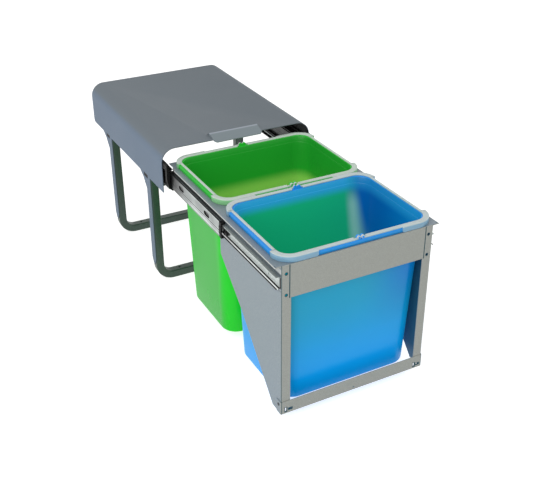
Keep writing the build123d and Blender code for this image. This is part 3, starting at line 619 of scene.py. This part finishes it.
def middle_zinc(finish, level):
    """Zinc of the middle members, with painted shade: dark bands and a dark groove line across the web, dark
    inner faces with a lighter line, dark behind the caps and round the slots in the web.
    """
    # Painted shade: dark bands across the web and a dark groove line below its middle
    shader, tint = zinc(
        "middle_zinc", finish.zinc, RAIL_LINES,
        (level, level + 14.6, finish.strip, 0.4), (level - 3.6, level - 0.4, finish.carrier, 0.9),
        (level - 8, level - 5, finish.strip, 0.4), (level - 17, level - 11.5, finish.strip, 0.55))
    x, y, z = place(shader.id_data)
    across = abs(x)
    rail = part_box("left_middle_rail")[0]
    # Painted shade on the inner faces, with a lighter line 4 mm in from the web
    inner = fade(across, -rail.x, -0.4, -0.9)
    inner = line(across, -rail.x - 4 * MM, 0.5) * inner * -0.3 + inner
    # Painted shade behind the caps and round the slots in the web
    marks = [inner * 0.9, fade(y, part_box("left_carrier_cap")[0].y, -110, -20) * 0.9]
    for setback in WEB_SLOTS:
        along = past(abs(y - (rail.y + setback * MM)), WEB_SLOT_REACH * MM)
        marks.append(round_mark(along, z, (0, level + 5), 4.5))
    give(shader, Base_Color=blend(most(*marks), tint, finish.carrier))


def inner_zinc(finish, level):
    """Zinc of the drawer members: a glowing painted highlight line between painted dark shade lines on the
    lower flange, a dark rear part.
    """
    shader, tint = zinc("inner_zinc", finish.zinc, RAIL_LINES)
    x, y, z = place(shader.id_data)
    across = abs(x)
    face = -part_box("left_inner_rail")[0].x
    # Painted shade: dark lines on the lower flange either side of a painted highlight line that glows
    flange = band(x.tree, level - 12, level - 8.4, 0.3)
    bright = line(across, face - 3.2 * MM, 0.8) * flange
    rear = fade(y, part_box("left_middle_rail")[0].y, 2, 10)
    pin = round_mark(y, z, (LEVER_PIN_Y, level), 3.4) * fade(across, face, -5.8, -5)
    give(shader, Base_Color=blend(most(flange - bright, rear, pin), tint, finish.carrier),
         Emission_Color=blend(bright, (0, 0, 0), (1, 1, 1)), Emission_Strength=0.5)


def thin_wall(shader, tint, light, strength, share):
    """Let light through a thin wall: a painted glow of its own, standing in for light through it, and a
    share of translucent shader.
    """
    give(shader, Emission_Color=light, Emission_Strength=strength)
    surface = shader.outputs[0].links[0].to_socket
    thin = result(shader.id_data, "ShaderNodeBsdfTranslucent", {"Color": tint})
    feed(surface, result(shader.id_data, "ShaderNodeMixShader",
                         {0: share, 1: Output(shader.outputs[0]), 2: thin}))


def coloured(shader, tint, roughness, scale):
    """Let a plastic's colour drift to a tenth darker, and return it."""
    return drift(shader, tint, blend(1.0, tint, (0.9, 0.9, 0.9), "MULTIPLY"), roughness, scale)


def tub_plastic(name, shades, levels, share, strength, lights=None, patch=None):
    """Bin plastic that changes between two heights, with a painted glow. A patch is a painted colour and the
    function of its mask.
    """
    shader = start_material(name, IOR=1.5, Specular_IOR_Level=0.35)
    tree = shader.id_data
    mask = fade(place(tree)[2], 0.0, *levels)
    tint = blend(mask, *shades)
    if patch:
        tint = blend(patch[1](tree), tint, patch[0])
    light = tint
    if lights:
        light = blend(patch[1](tree) * 0.5, blend(mask, *lights), patch[0])
    grain(shader, 500.0, 0.00003)
    thin_wall(shader, coloured(shader, tint, 0.26, 6.0), light, strength, share)


def blue_inside(bins):
    """Inside of the front bin: green that shines through its rear wall is painted on it, its right wall and
    front are painted deep blue shade, with a painted highlight in the corner and a painted glow.
    """
    shader = start_material("blue_inside", Roughness=0.28, IOR=1.5, Specular_IOR_Level=0.35)
    x, y, z = place(shader.id_data)
    low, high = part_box("front_bin")
    level = INNER_STEP * MM
    right = fade((z - level) * 0.1 + x, high.x, -56, -20)
    forward = ramp(y, high.y - 60 * MM, low.y + 40 * MM)
    pale = right * (1.0 - right) * fade(y, high.y, -60, -30) * 2.6 * fade(z, level, -1, -47)
    # Painted light from the green bin, painted shade on the right wall and towards the front, a painted
    # highlight in the rear corner, and a lighter band above the step
    tint = layer(
        blend(right, bins.blue_shine, bins.blue_deep),
        (forward * right, Vector(bins.blue_deep).lerp(Vector(bins.blue), 0.35)),
        (pale, bins.blue_pale),
        (fade(z, level, -21, 2) * (right * -0.55 + 1.0), bins.blue_band))
    give(shader, Base_Color=tint)
    grain(shader, 500.0, 0.00003)
    thin_wall(shader, tint, tint, 1.5 * bins.glow, 0.35)


def milky(name, handles, beneath, node):
    """Natural cloudy plastic of the handles: the rim's colour that shines through their skirts is painted
    into them, with a painted glow.
    """
    shader = start_material(name, IOR=1.5)
    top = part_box(node)[0].z + handles.skirt_depth + handles.thickness
    flat = fade(place(shader.id_data)[2], top, -2.4, -0.5)
    light = blend(flat, Vector(beneath).lerp(Vector(handles.milk), 0.4), handles.milk)
    grain(shader, 600.0, 0.00003)
    thin_wall(shader, coloured(shader, light, 0.3, 30.0), light, 0.16, 0.3)


def make_materials(scene):
    """Build every material."""
    bins, handles, finish = scene.bin_settings, scene.handle_settings, scene.finish_settings
    level = sum(corner.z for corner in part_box("left_inner_rail")) / 2 / MM
    cover_plastic(finish)
    moulded("black_plastic", finish.black, finish.black, 0.5, 1800.0, 0.00004, 0.2)
    coat(start_material("bow", Roughness=0.36, Coat_Roughness=0.3),
         finish.bow, finish.bow_fleck, 0.25, 0.1)
    coat(start_material("carrier", Roughness=0.34, Coat_Roughness=0.3),
         finish.carrier, finish.carrier_fleck, 0.2, 0.05)
    frame_coat(finish)
    zinc("zinc", finish.zinc, RAIL_LINES)
    zinc("cage", finish.strip, 1100.0)
    zinc("balls", finish.zinc, 200.0)
    # Painted shade: the outer members are laid in the dark strip colour, with zinc-coloured bands along
    # their flanges
    zinc("outer_zinc", finish.strip, RAIL_LINES, (level + 17.5, level + 19.5, finish.zinc, 0.8),
         (level - 22, level - 17, finish.zinc, 0.8))
    middle_zinc(finish, level)
    inner_zinc(finish, level)
    # Painted shade on the front bin's upper right part, and a painted glow through its walls
    tub_plastic("blue_outside", (bins.blue_foot, bins.blue), FOOT_LEVELS, 0.25, bins.glow,
                (bins.blue_foot, bins.blue_glow), (bins.blue_side_shade, right_mask))
    tub_plastic("blue_rim", (bins.blue, bins.blue_rim), RIM_LEVELS, 0.25, 0.5 * bins.glow)
    blue_inside(bins)
    # Painted light on the rear bin's upright corners, and a painted glow through its walls
    tub_plastic("green_outside", (bins.green, bins.green), FOOT_LEVELS, 0.3, bins.glow,
                patch=(bins.green_corner_shine, corner_mask))
    tub_plastic("green_rim", (bins.green_rim, bins.green_rim), RIM_LEVELS, 0.25, 0.5 * bins.glow)
    # Painted light low inside the rear bin, standing in for light through its walls, and a painted glow
    tub_plastic("green_inside", (bins.green_shine, bins.green_deep), SHINE_LEVELS, 0.35, 1.15 * bins.glow)
    milky("front_handle", handles, bins.blue_band, "front_bin_left_handle")
    milky("rear_handle", handles, bins.green_rim, "rear_bin_left_handle")


# Meshes


def add_object(name, data):
    """Add an object to the scene."""
    piece = bpy.data.objects.new(name, data)
    bpy.context.scene.collection.objects.link(piece)
    return piece


def add_piece(name, build, materials, body, nodes, width, limit=40):
    """Make a mesh piece with its finish and soft edges, on its body in place of the CAD nodes."""
    mesh = bpy.data.meshes.new(name)
    shape = bmesh.new()
    build(shape)
    bmesh.ops.recalc_face_normals(shape, faces=shape.faces)
    shape.to_mesh(mesh)
    shape.free()
    for material in materials:
        mesh.materials.append(bpy.data.materials[LOOK + material])
    if "custom_normal" in mesh.attributes:
        mesh.attributes.remove(mesh.attributes["custom_normal"])
    piece = add_object(name, mesh)
    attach(piece, body)
    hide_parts(*nodes)
    soften(piece, width, limit)


def soften(piece, width, limit):
    """Round a piece's sharp edges."""
    for face in piece.data.polygons:
        face.use_smooth = True
    bevel = piece.modifiers.new("Soft edges", "BEVEL")
    bevel.width = width
    bevel.segments = 2
    bevel.limit_method = "ANGLE"
    bevel.angle_limit = math.radians(limit)
    bevel.harden_normals = True


def round_loop(shape, centre, half, radius, level):
    """A loop of vertices round a rectangle with round corners."""
    loop = []
    for turn, (across, along) in enumerate(((1, 1), (-1, 1), (-1, -1), (1, -1))):
        x = centre[0] + across * (half[0] - radius)
        y = centre[1] + along * (half[1] - radius)
        for k in range(CORNER_STEPS + 1):
            angle = (turn + k / CORNER_STEPS) * math.pi / 2
            loop.append(shape.verts.new((x + radius * math.cos(angle), y + radius * math.sin(angle), level)))
    return loop


def bridge(shape, first, second, material=0):
    """Join two loops by a band of faces."""
    pairs = list(zip(first, second))
    for (a, b), (c, d) in zip(pairs, pairs[1:] + pairs[:1]):
        face = shape.faces.new((a, c, d, b))
        face.material_index = material
        face.smooth = True


def bridge_all(shape, loops):
    """Join each loop to the next one."""
    for first, second in zip(loops, loops[1:]):
        bridge(shape, first, second)


def cap(shape, loop, material=0):
    """Close a loop with one face."""
    shape.faces.new(loop).material_index = material


def extrude_outline(shape, points, start, end, material=0):
    """A prism along Y from an outline drawn in X and Z."""
    first = [shape.verts.new((x, start, z)) for x, z in points]
    second = [shape.verts.new((x, end, z)) for x, z in points]
    bridge(shape, first, second, material)
    cap(shape, first, material)
    cap(shape, second, material)


def circle(x, z, radius, steps=20, start=0.0, end=360.0):
    """Points round part of a circle in X and Z."""
    count = steps if end - start == 360 else steps + 1
    angles = [math.radians(start + (end - start) * k / steps) for k in range(count)]
    return [(x + radius * math.cos(angle), z + radius * math.sin(angle)) for angle in angles]


# Bins


def bin_profile(bins, floor, rim_top):
    """Section of a bin from its floor outside to its floor inside: offset, level and finish."""
    outside, rim, inside = 0, 1, 2
    soft = 0.4 * MM
    around, inner_round = bins.base_round, bins.base_round - bins.wall
    inner_floor, step_level = floor + bins.wall, rim_top - bins.step_drop
    under, foot = rim_top - bins.rim_wall, rim_top - bins.rim_height
    lip, edge, top = bins.overhang - bins.rim_wall, bins.overhang, bins.upper_wall
    turns = [(math.sin(k * math.pi / 10), math.cos(k * math.pi / 10)) for k in range(6)]
    profile = [(-around * (1 - sine), floor + around * (1 - cosine), outside) for sine, cosine in turns]
    profile += [(0.0, floor + share * (under - floor), outside) for share in (0.2, 0.45, 0.7, 0.9)]
    profile += [
        (0.0, under, outside), (lip - soft, under, rim), (lip, under - soft, rim), (lip, foot + soft, rim),
        (lip + soft, foot, rim), (edge - soft, foot, rim), (edge, foot + soft, rim),
        (edge, rim_top - 4 * soft, rim), (edge - soft, rim_top - 2 * soft, rim),
        (edge - 2 * soft, rim_top - soft, rim), (edge - 4 * soft, rim_top, rim),
        (soft, rim_top, rim), (soft - top, rim_top - soft / 2, rim), (-top, rim_top - 2 * soft, rim),
        (-top, step_level + soft, inside), (-top - soft / 4, step_level, inside),
        (soft / 4 - bins.wall, step_level - soft, inside), (-bins.wall, step_level - 2 * soft, inside),
    ]
    profile += [(-bins.wall, inner_floor + share * (step_level - inner_floor), inside)
                for share in (0.8, 0.6, 0.4, 0.2)]
    profile += [(-bins.wall - inner_round * (1 - cosine), inner_floor + inner_round * (1 - sine), inside)
                for sine, cosine in turns]
    return profile


def bin_place(node, bins):
    """A bin's centre, half its width and length, and the levels of its floor and its rim."""
    low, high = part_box(node)
    centre, half = (low + high) / 2, (high - low) / 2
    return centre, half, low.z, high.z - bins.hinge_rise - bins.lug_radius


def build_bin(shape, node, bins):
    """The bin's shell with its rolled rim, and its two pairs of hinge humps."""
    centre, outer, floor, rim_top = bin_place(node, bins)
    base = (bins.base_width / 2, bins.base_length / 2)
    profile = bin_profile(bins, floor, rim_top)
    loops = []
    for offset, level, _ in profile:
        share = (level - floor) / (rim_top - floor)
        half = [base[k] + share * (outer[k] - bins.overhang - base[k]) + offset for k in (0, 1)]
        loops.append(round_loop(shape, centre, half, bins.corner + offset, level))
    for (first, second), (_, _, finish) in zip(zip(loops, loops[1:]), profile[1:]):
        bridge(shape, first, second, finish)
    cap(shape, loops[0], 0)
    cap(shape, loops[-1], 2)
    build_lugs(shape, centre, outer.y, rim_top, bins)


def build_lugs(shape, centre, rim_half, rim_top, bins):
    """Two humps with a pin each, at the front and at the back of the rim."""
    half = bins.hinge_spacing / 2
    level = rim_top + bins.hinge_rise
    left, right = centre[0] - half, centre[0] + half
    foot = rim_top - bins.rim_wall / 2
    humps = [point for x in (left, right) for point in circle(x, level, bins.lug_radius, 14, 180, 0)]
    outline = [(left - bins.lug_radius, foot), *humps, (right + bins.lug_radius, foot)]
    back = rim_half - bins.lug_setback
    for side in (-1, 1):
        inner, outer = centre[1] + side * (back - bins.lug_thickness), centre[1] + side * back
        extrude_outline(shape, outline, inner, outer, 1)
        for x in (left, right):
            pin_end = outer + side * bins.pin_length
            extrude_outline(shape, circle(x, level, bins.pin_radius), outer, pin_end, 1)
            head_end = pin_end + side * bins.pin_head
            extrude_outline(shape, circle(x, level, bins.pin_radius * 1.4), pin_end, head_end, 1)


class BINFRAME_OT_bins(bpy.types.Operator):
    """Build the two bins with their rolled rims and hinge lugs"""

    bl_idname = "binframe.bins"
    bl_label = "Bins"

    def execute(self, context):
        bins = context.scene.bin_settings
        for node, shade in zip(BINS, ("blue", "green")):
            finishes = [shade + "_outside", shade + "_rim", shade + "_inside"]
            add_piece(node + "_tub", lambda shape: build_bin(shape, node, bins), finishes,
                      node, [node], 0.3 * MM, 60)
        return {"FINISHED"}


# Handles


def ring_stations(handles, half, radius):
    """Places along a half ring from back to front: arc centre, angle, skirt share and cut at the edge."""
    cx, cy = half[0] - radius, half[1] - radius
    skirt_x = half[0] - handles.skirt_front
    skirt_y = half[1] - handles.skirt_side
    stations = [(x, cy, 90, 0.0, handles.front_cut) for x in (handles.neck_start, skirt_x / 2, skirt_x)]
    stations += [(skirt_x + 0.6 * MM, cy, 90, 0.8, 0.0), (skirt_x + 2.2 * MM, cy, 90, 1.0, 0.0)]
    stations += [(cx, cy, 90 - 90 * k / CORNER_STEPS, 1.0, 0.0) for k in range(CORNER_STEPS + 1)]
    stations += [(cx, skirt_y + 1.6 * MM, 0, 1.0, 0.0), (cx, skirt_y + 0.6 * MM, 0, 0.8, 0.0),
                 (cx, skirt_y, 0, 0.0, handles.side_cut), (cx, 0.0, 0, 0.0, handles.side_cut)]
    front = [(x, -y, -angle, share, cut) for x, y, angle, share, cut in reversed(stations[:-1])]
    return stations + front


def ring_section(handles, top, share, cut):
    """Closed section of the ring at a station: distance from the full outer edge, and level."""
    bottom = top - handles.thickness
    depth = max(share * handles.skirt_depth, 0.02 * MM)
    soft = 0.3 * MM
    small = soft * min(1.0, depth / MM)
    foot = bottom - depth
    wide, skirt = handles.band, cut + handles.skirt
    return [
        (cut, top - 3 * soft), (cut + soft, top - soft), (cut + 3 * soft, top),
        (wide - 3 * soft, top), (wide - soft, top - soft), (wide, top - 3 * soft),
        (wide, bottom + soft), (wide - soft, bottom), (skirt + small, bottom),
        (skirt, bottom - small), (skirt, foot + small), (skirt - small, foot), (cut + soft, foot),
        (cut, foot + small),
    ]


def build_handle(shape, node, side, handles, bins):
    """One half ring with its skirts, necks and eyes."""
    low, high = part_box(node)
    centre, _, _, rim_top = bin_place(node.rsplit("_", 2)[0], bins)
    outer = high.x - centre.x if side > 0 else centre.x - low.x
    half = (outer, (high.y - low.y) / 2)
    top = rim_top + handles.rise
    radius = handles.inner_corner + handles.band
    loops = []
    for x, y, angle, share, cut in ring_stations(handles, half, radius):
        turn = math.radians(angle)
        loop = []
        for inset, level in ring_section(handles, top, share, cut):
            px = x + (radius - inset) * math.cos(turn)
            py = y + (radius - inset) * math.sin(turn)
            loop.append(shape.verts.new((centre[0] + side * px, centre[1] + py, level)))
        loops.append(loop)
    bridge_all(shape, loops)
    cap(shape, loops[0])
    cap(shape, loops[-1])
    build_eyes(shape, centre, side, half[1], rim_top, handles, bins)


def build_eyes(shape, centre, side, ring_half, rim_top, handles, bins):
    """The necks and eyes that carry a half ring on its two hinge pins."""
    level = rim_top + bins.hinge_rise
    x = centre[0] + side * bins.hinge_spacing / 2
    near = ring_half - handles.neck_setback
    start = handles.eye_bore + 0.6 * MM
    left, right = sorted((x + side * start, centre[0] + side * (handles.neck_start + 0.6 * MM)))
    low, high = rim_top + 0.3 * MM, rim_top + handles.rise
    for end in (-1, 1):
        front, back = sorted(centre[1] + end * y for y in (near, near + handles.neck_width))
        extrude_outline(shape, [(left, low), (right, low), (right, high), (left, high)], front, back)
        rings = [[shape.verts.new((px, y, pz)) for px, pz in circle(x, level, radius, 24)]
                 for y, radius in ((front, handles.eye_bore), (front, handles.eye_radius),
                                   (back, handles.eye_radius), (back, handles.eye_bore))]
        bridge_all(shape, rings + rings[:1])


class BINFRAME_OT_handles(bpy.types.Operator):
    """Build the four hinged half rings on the bins"""

    bl_idname = "binframe.handles"
    bl_label = "Handles"

    def execute(self, context):
        handles = context.scene.handle_settings
        bins = context.scene.bin_settings
        for node in BINS:
            for side, direction in zip(SIDES, (-1, 1)):
                name = node + "_" + side + "_handle"
                add_piece(name + "_ring",
                          lambda shape: build_handle(shape, name, direction, handles, bins),
                          [node.split("_")[0] + "_handle"], name, [name],
                          0.25 * MM, 55)
        return {"FINISHED"}


# Pieces that keep the CAD shape, with softened edges


def slot_of(node):
    """A CAD node's material slot."""
    return next(row["material_slot"] for row in frame["record"]["subparts"] if row["node"] == node)


def soft_copy(node, softness, material=None):
    """A copy of a CAD node with clean faces and softened edges, in the node's place."""
    source = frame["nodes"][node]
    body = next(name for name, nodes in frame["record"]["behaviour"]["bodies"].items() if node in nodes)

    def build(shape):
        shape.from_mesh(source.data)
        bmesh.ops.remove_doubles(shape, verts=shape.verts, dist=0.002 * MM)
        bmesh.ops.dissolve_limit(shape, angle_limit=math.radians(0.5), verts=shape.verts,
                                 edges=shape.edges)

    slot = slot_of(node)
    add_piece(node + "_soft", build, [material or slot], body, [node], softness)


def finish_node(node, material=None):
    """Give a CAD node that stays as it is its finish."""
    mesh = frame["nodes"][node].data
    mesh.materials.clear()
    mesh.materials.append(bpy.data.materials[LOOK + (material or slot_of(node))])


def both(*names):
    """The left and the right node of each name."""
    return [side + "_" + name for name in names for side in SIDES]


class BINFRAME_OT_cover(bpy.types.Operator):
    """Build the moulded cover and its clips"""

    bl_idname = "binframe.cover"
    bl_label = "Cover"

    def execute(self, context):
        soft_copy("top_cover", 0.6 * MM)
        soft_copy("cover_clips", 0.4 * MM)
        return {"FINISHED"}


class BINFRAME_OT_bows(bpy.types.Operator):
    """Build the two tube bows and their screws"""

    bl_idname = "binframe.bows"
    bl_label = "Bows"

    def execute(self, context):
        for node in ("front_bow", "rear_bow"):
            soft_copy(node, 0.3 * MM)
        finish_node("bow_screws")
        return {"FINISHED"}


class BINFRAME_OT_carriers(bpy.types.Operator):
    """Build the carriers between bows and slides, with their end caps"""

    bl_idname = "binframe.carriers"
    bl_label = "Carriers"

    def execute(self, context):
        softness = context.scene.finish_settings.edge_softness
        for node in both("carrier", "carrier_cap"):
            soft_copy(node, softness)
        return {"FINISHED"}


class BINFRAME_OT_slides(bpy.types.Operator):
    """Build the ball slides with buffers, cages and release levers"""

    bl_idname = "binframe.slides"
    bl_label = "Slides"

    def execute(self, context):
        softness = context.scene.finish_settings.edge_softness
        for member in ("outer", "middle", "inner"):
            for node in both(member + "_rail"):
                soft_copy(node, softness, member + "_zinc")
        for node in both("middle_buffer", "release_lever"):
            soft_copy(node, softness)
        for node in both("outer_cage", "inner_cage", "outer_balls", "inner_balls"):
            finish_node(node)
        for node in ("outer_rail_screws", "inner_rail_rivets"):
            finish_node(node)
        return {"FINISHED"}


class BINFRAME_OT_drawer_frame(bpy.types.Operator):
    """Build the folded drawer frame: tray, side panels, bottom rail and rivets"""

    bl_idname = "binframe.drawer_frame"
    bl_label = "Drawer frame"

    def execute(self, context):
        softness = context.scene.finish_settings.edge_softness
        for node in ["bin_tray", "bottom_rail"] + both("side_panel"):
            soft_copy(node, softness)
        finish_node("frame_rivets", "cage")
        return {"FINISHED"}


# Stage


def add_camera(stage):
    """The camera at the photograph's place."""
    data = bpy.data.cameras.new("photo_camera")
    data.sensor_width = SENSOR_WIDTH
    data.lens = stage.lens
    data.shift_x = (PHOTO_WIDTH / 2 - stage.centre[0]) / PHOTO_WIDTH
    data.shift_y = (stage.centre[1] - PHOTO_HEIGHT / 2) / PHOTO_WIDTH
    data.clip_start = 0.05
    data.clip_end = 40
    camera = add_object("photo_camera", data)
    camera.matrix_world = (Matrix.Translation(Vector(stage.place))
                           @ Matrix.Rotation(stage.azimuth, 4, "Z")
                           @ Matrix.Rotation(math.pi / 2 - stage.elevation, 4, "X")
                           @ Matrix.Rotation(stage.roll, 4, "Z"))
    bpy.context.scene.camera = camera


def add_lamp(name, power, size, place_at, target):
    """A large square area lamp that looks at a point."""
    data = bpy.data.lights.new(name, "AREA")
    data.energy = power
    data.size = size
    lamp = add_object(name, data)
    lamp.location = place_at
    lamp.rotation_euler = (Vector(target) - Vector(place_at)).to_track_quat("-Z", "Y").to_euler()


def seen_directly(tree):
    """A mask that is one for camera, glossy and transmission rays."""
    path = add_node(tree, "ShaderNodeLightPath").outputs
    return most(*(Output(path["Is " + ray + " Ray"]) for ray in ("Camera", "Glossy", "Transmission")))


def add_world(stage):
    """Even light from all round, with a white background."""
    world = bpy.data.worlds.new("studio")
    tree = clean_tree(world)
    even, white = [result(tree, "ShaderNodeBackground", {"Color": (1, 1, 1), "Strength": strength})
                   for strength in (stage.sky, 1.0)]
    mix = result(tree, "ShaderNodeMixShader", {0: seen_directly(tree), 1: even, 2: white})
    add_node(tree, "ShaderNodeOutputWorld", {"Surface": mix})
    bpy.context.scene.world = world


def add_floor(stage):
    """A large flat floor that reads as white where it is lit and keeps the object's shadow."""
    material = bpy.data.materials.new("floor")
    tree = clean_tree(material)
    plain = result(tree, "ShaderNodeBsdfDiffuse", {"Color": stage.floor})
    strength = seen_directly(tree) * stage.lift
    lift = result(tree, "ShaderNodeEmission", {"Color": (1, 1, 1), "Strength": strength})
    total = result(tree, "ShaderNodeAddShader", {0: plain, 1: lift})
    add_node(tree, "ShaderNodeOutputMaterial", {"Surface": total})
    mesh = bpy.data.meshes.new("floor")
    shape = bmesh.new()
    bmesh.ops.create_grid(shape, x_segments=1, y_segments=1, size=12)
    bmesh.ops.translate(shape, verts=shape.verts, vec=(0, 0, -0.2 * MM))
    shape.to_mesh(mesh)
    shape.free()
    mesh.materials.append(material)
    floor = add_object("floor", mesh)


class BINFRAME_OT_stage(bpy.types.Operator):
    """Build the floor, the studio light and the camera"""

    bl_idname = "binframe.stage"
    bl_label = "Stage"

    def execute(self, context):
        stage = context.scene.stage_settings
        context.scene.view_settings.view_transform = "Standard"
        add_world(stage)
        add_floor(stage)
        middle = (0.0, -0.25, 0.15)
        add_lamp("key", stage.key, 2.2, (-2.0, -1.7, 1.8), middle)
        add_lamp("fill", stage.fill, 1.6, (2.2, -0.6, 1.4), middle)
        add_camera(stage)
        return {"FINISHED"}


# Panel and registration


GROUPS = {
    "bin_settings": BinSettings,
    "handle_settings": HandleSettings,
    "finish_settings": FinishSettings,
    "stage_settings": StageSettings,
}
OPERATORS = (
    BINFRAME_OT_bins, BINFRAME_OT_handles, BINFRAME_OT_cover, BINFRAME_OT_bows,
    BINFRAME_OT_carriers, BINFRAME_OT_slides, BINFRAME_OT_drawer_frame, BINFRAME_OT_stage,
)


class BINFRAME_PT_panel(bpy.types.Panel):
    """Lists the pieces of the bin frame and their settings"""

    bl_idname = "BINFRAME_PT_panel"
    bl_label = "Pull out bin frame"
    bl_space_type = "VIEW_3D"
    bl_region_type = "UI"
    bl_category = "Bin frame"

    def draw(self, context):
        for operator in OPERATORS:
            self.layout.operator(operator.bl_idname)
        for name, settings in GROUPS.items():
            box = self.layout.box()
            for label in settings.__annotations__:
                box.prop(getattr(context.scene, name), label)


def register():
    """Register the classes and the settings."""
    for name, settings in GROUPS.items():
        bpy.utils.register_class(settings)
        setattr(bpy.types.Scene, name, bpy.props.PointerProperty(type=settings))
    for item in OPERATORS + (BINFRAME_PT_panel,):
        bpy.utils.register_class(item)


def unregister():
    """Remove the classes and the settings."""
    for item in reversed(OPERATORS + (BINFRAME_PT_panel,)):
        bpy.utils.unregister_class(item)
    for name, settings in GROUPS.items():
        delattr(bpy.types.Scene, name)
        bpy.utils.unregister_class(settings)


def main():
    """Build everything."""
    register()
    make_groups()
    make_materials(bpy.context.scene)
    for operator in OPERATORS:
        getattr(bpy.ops.binframe, operator.bl_idname.split(".")[1])()
    bpy.context.view_layer.update()


if __name__ == "__main__":
    main()
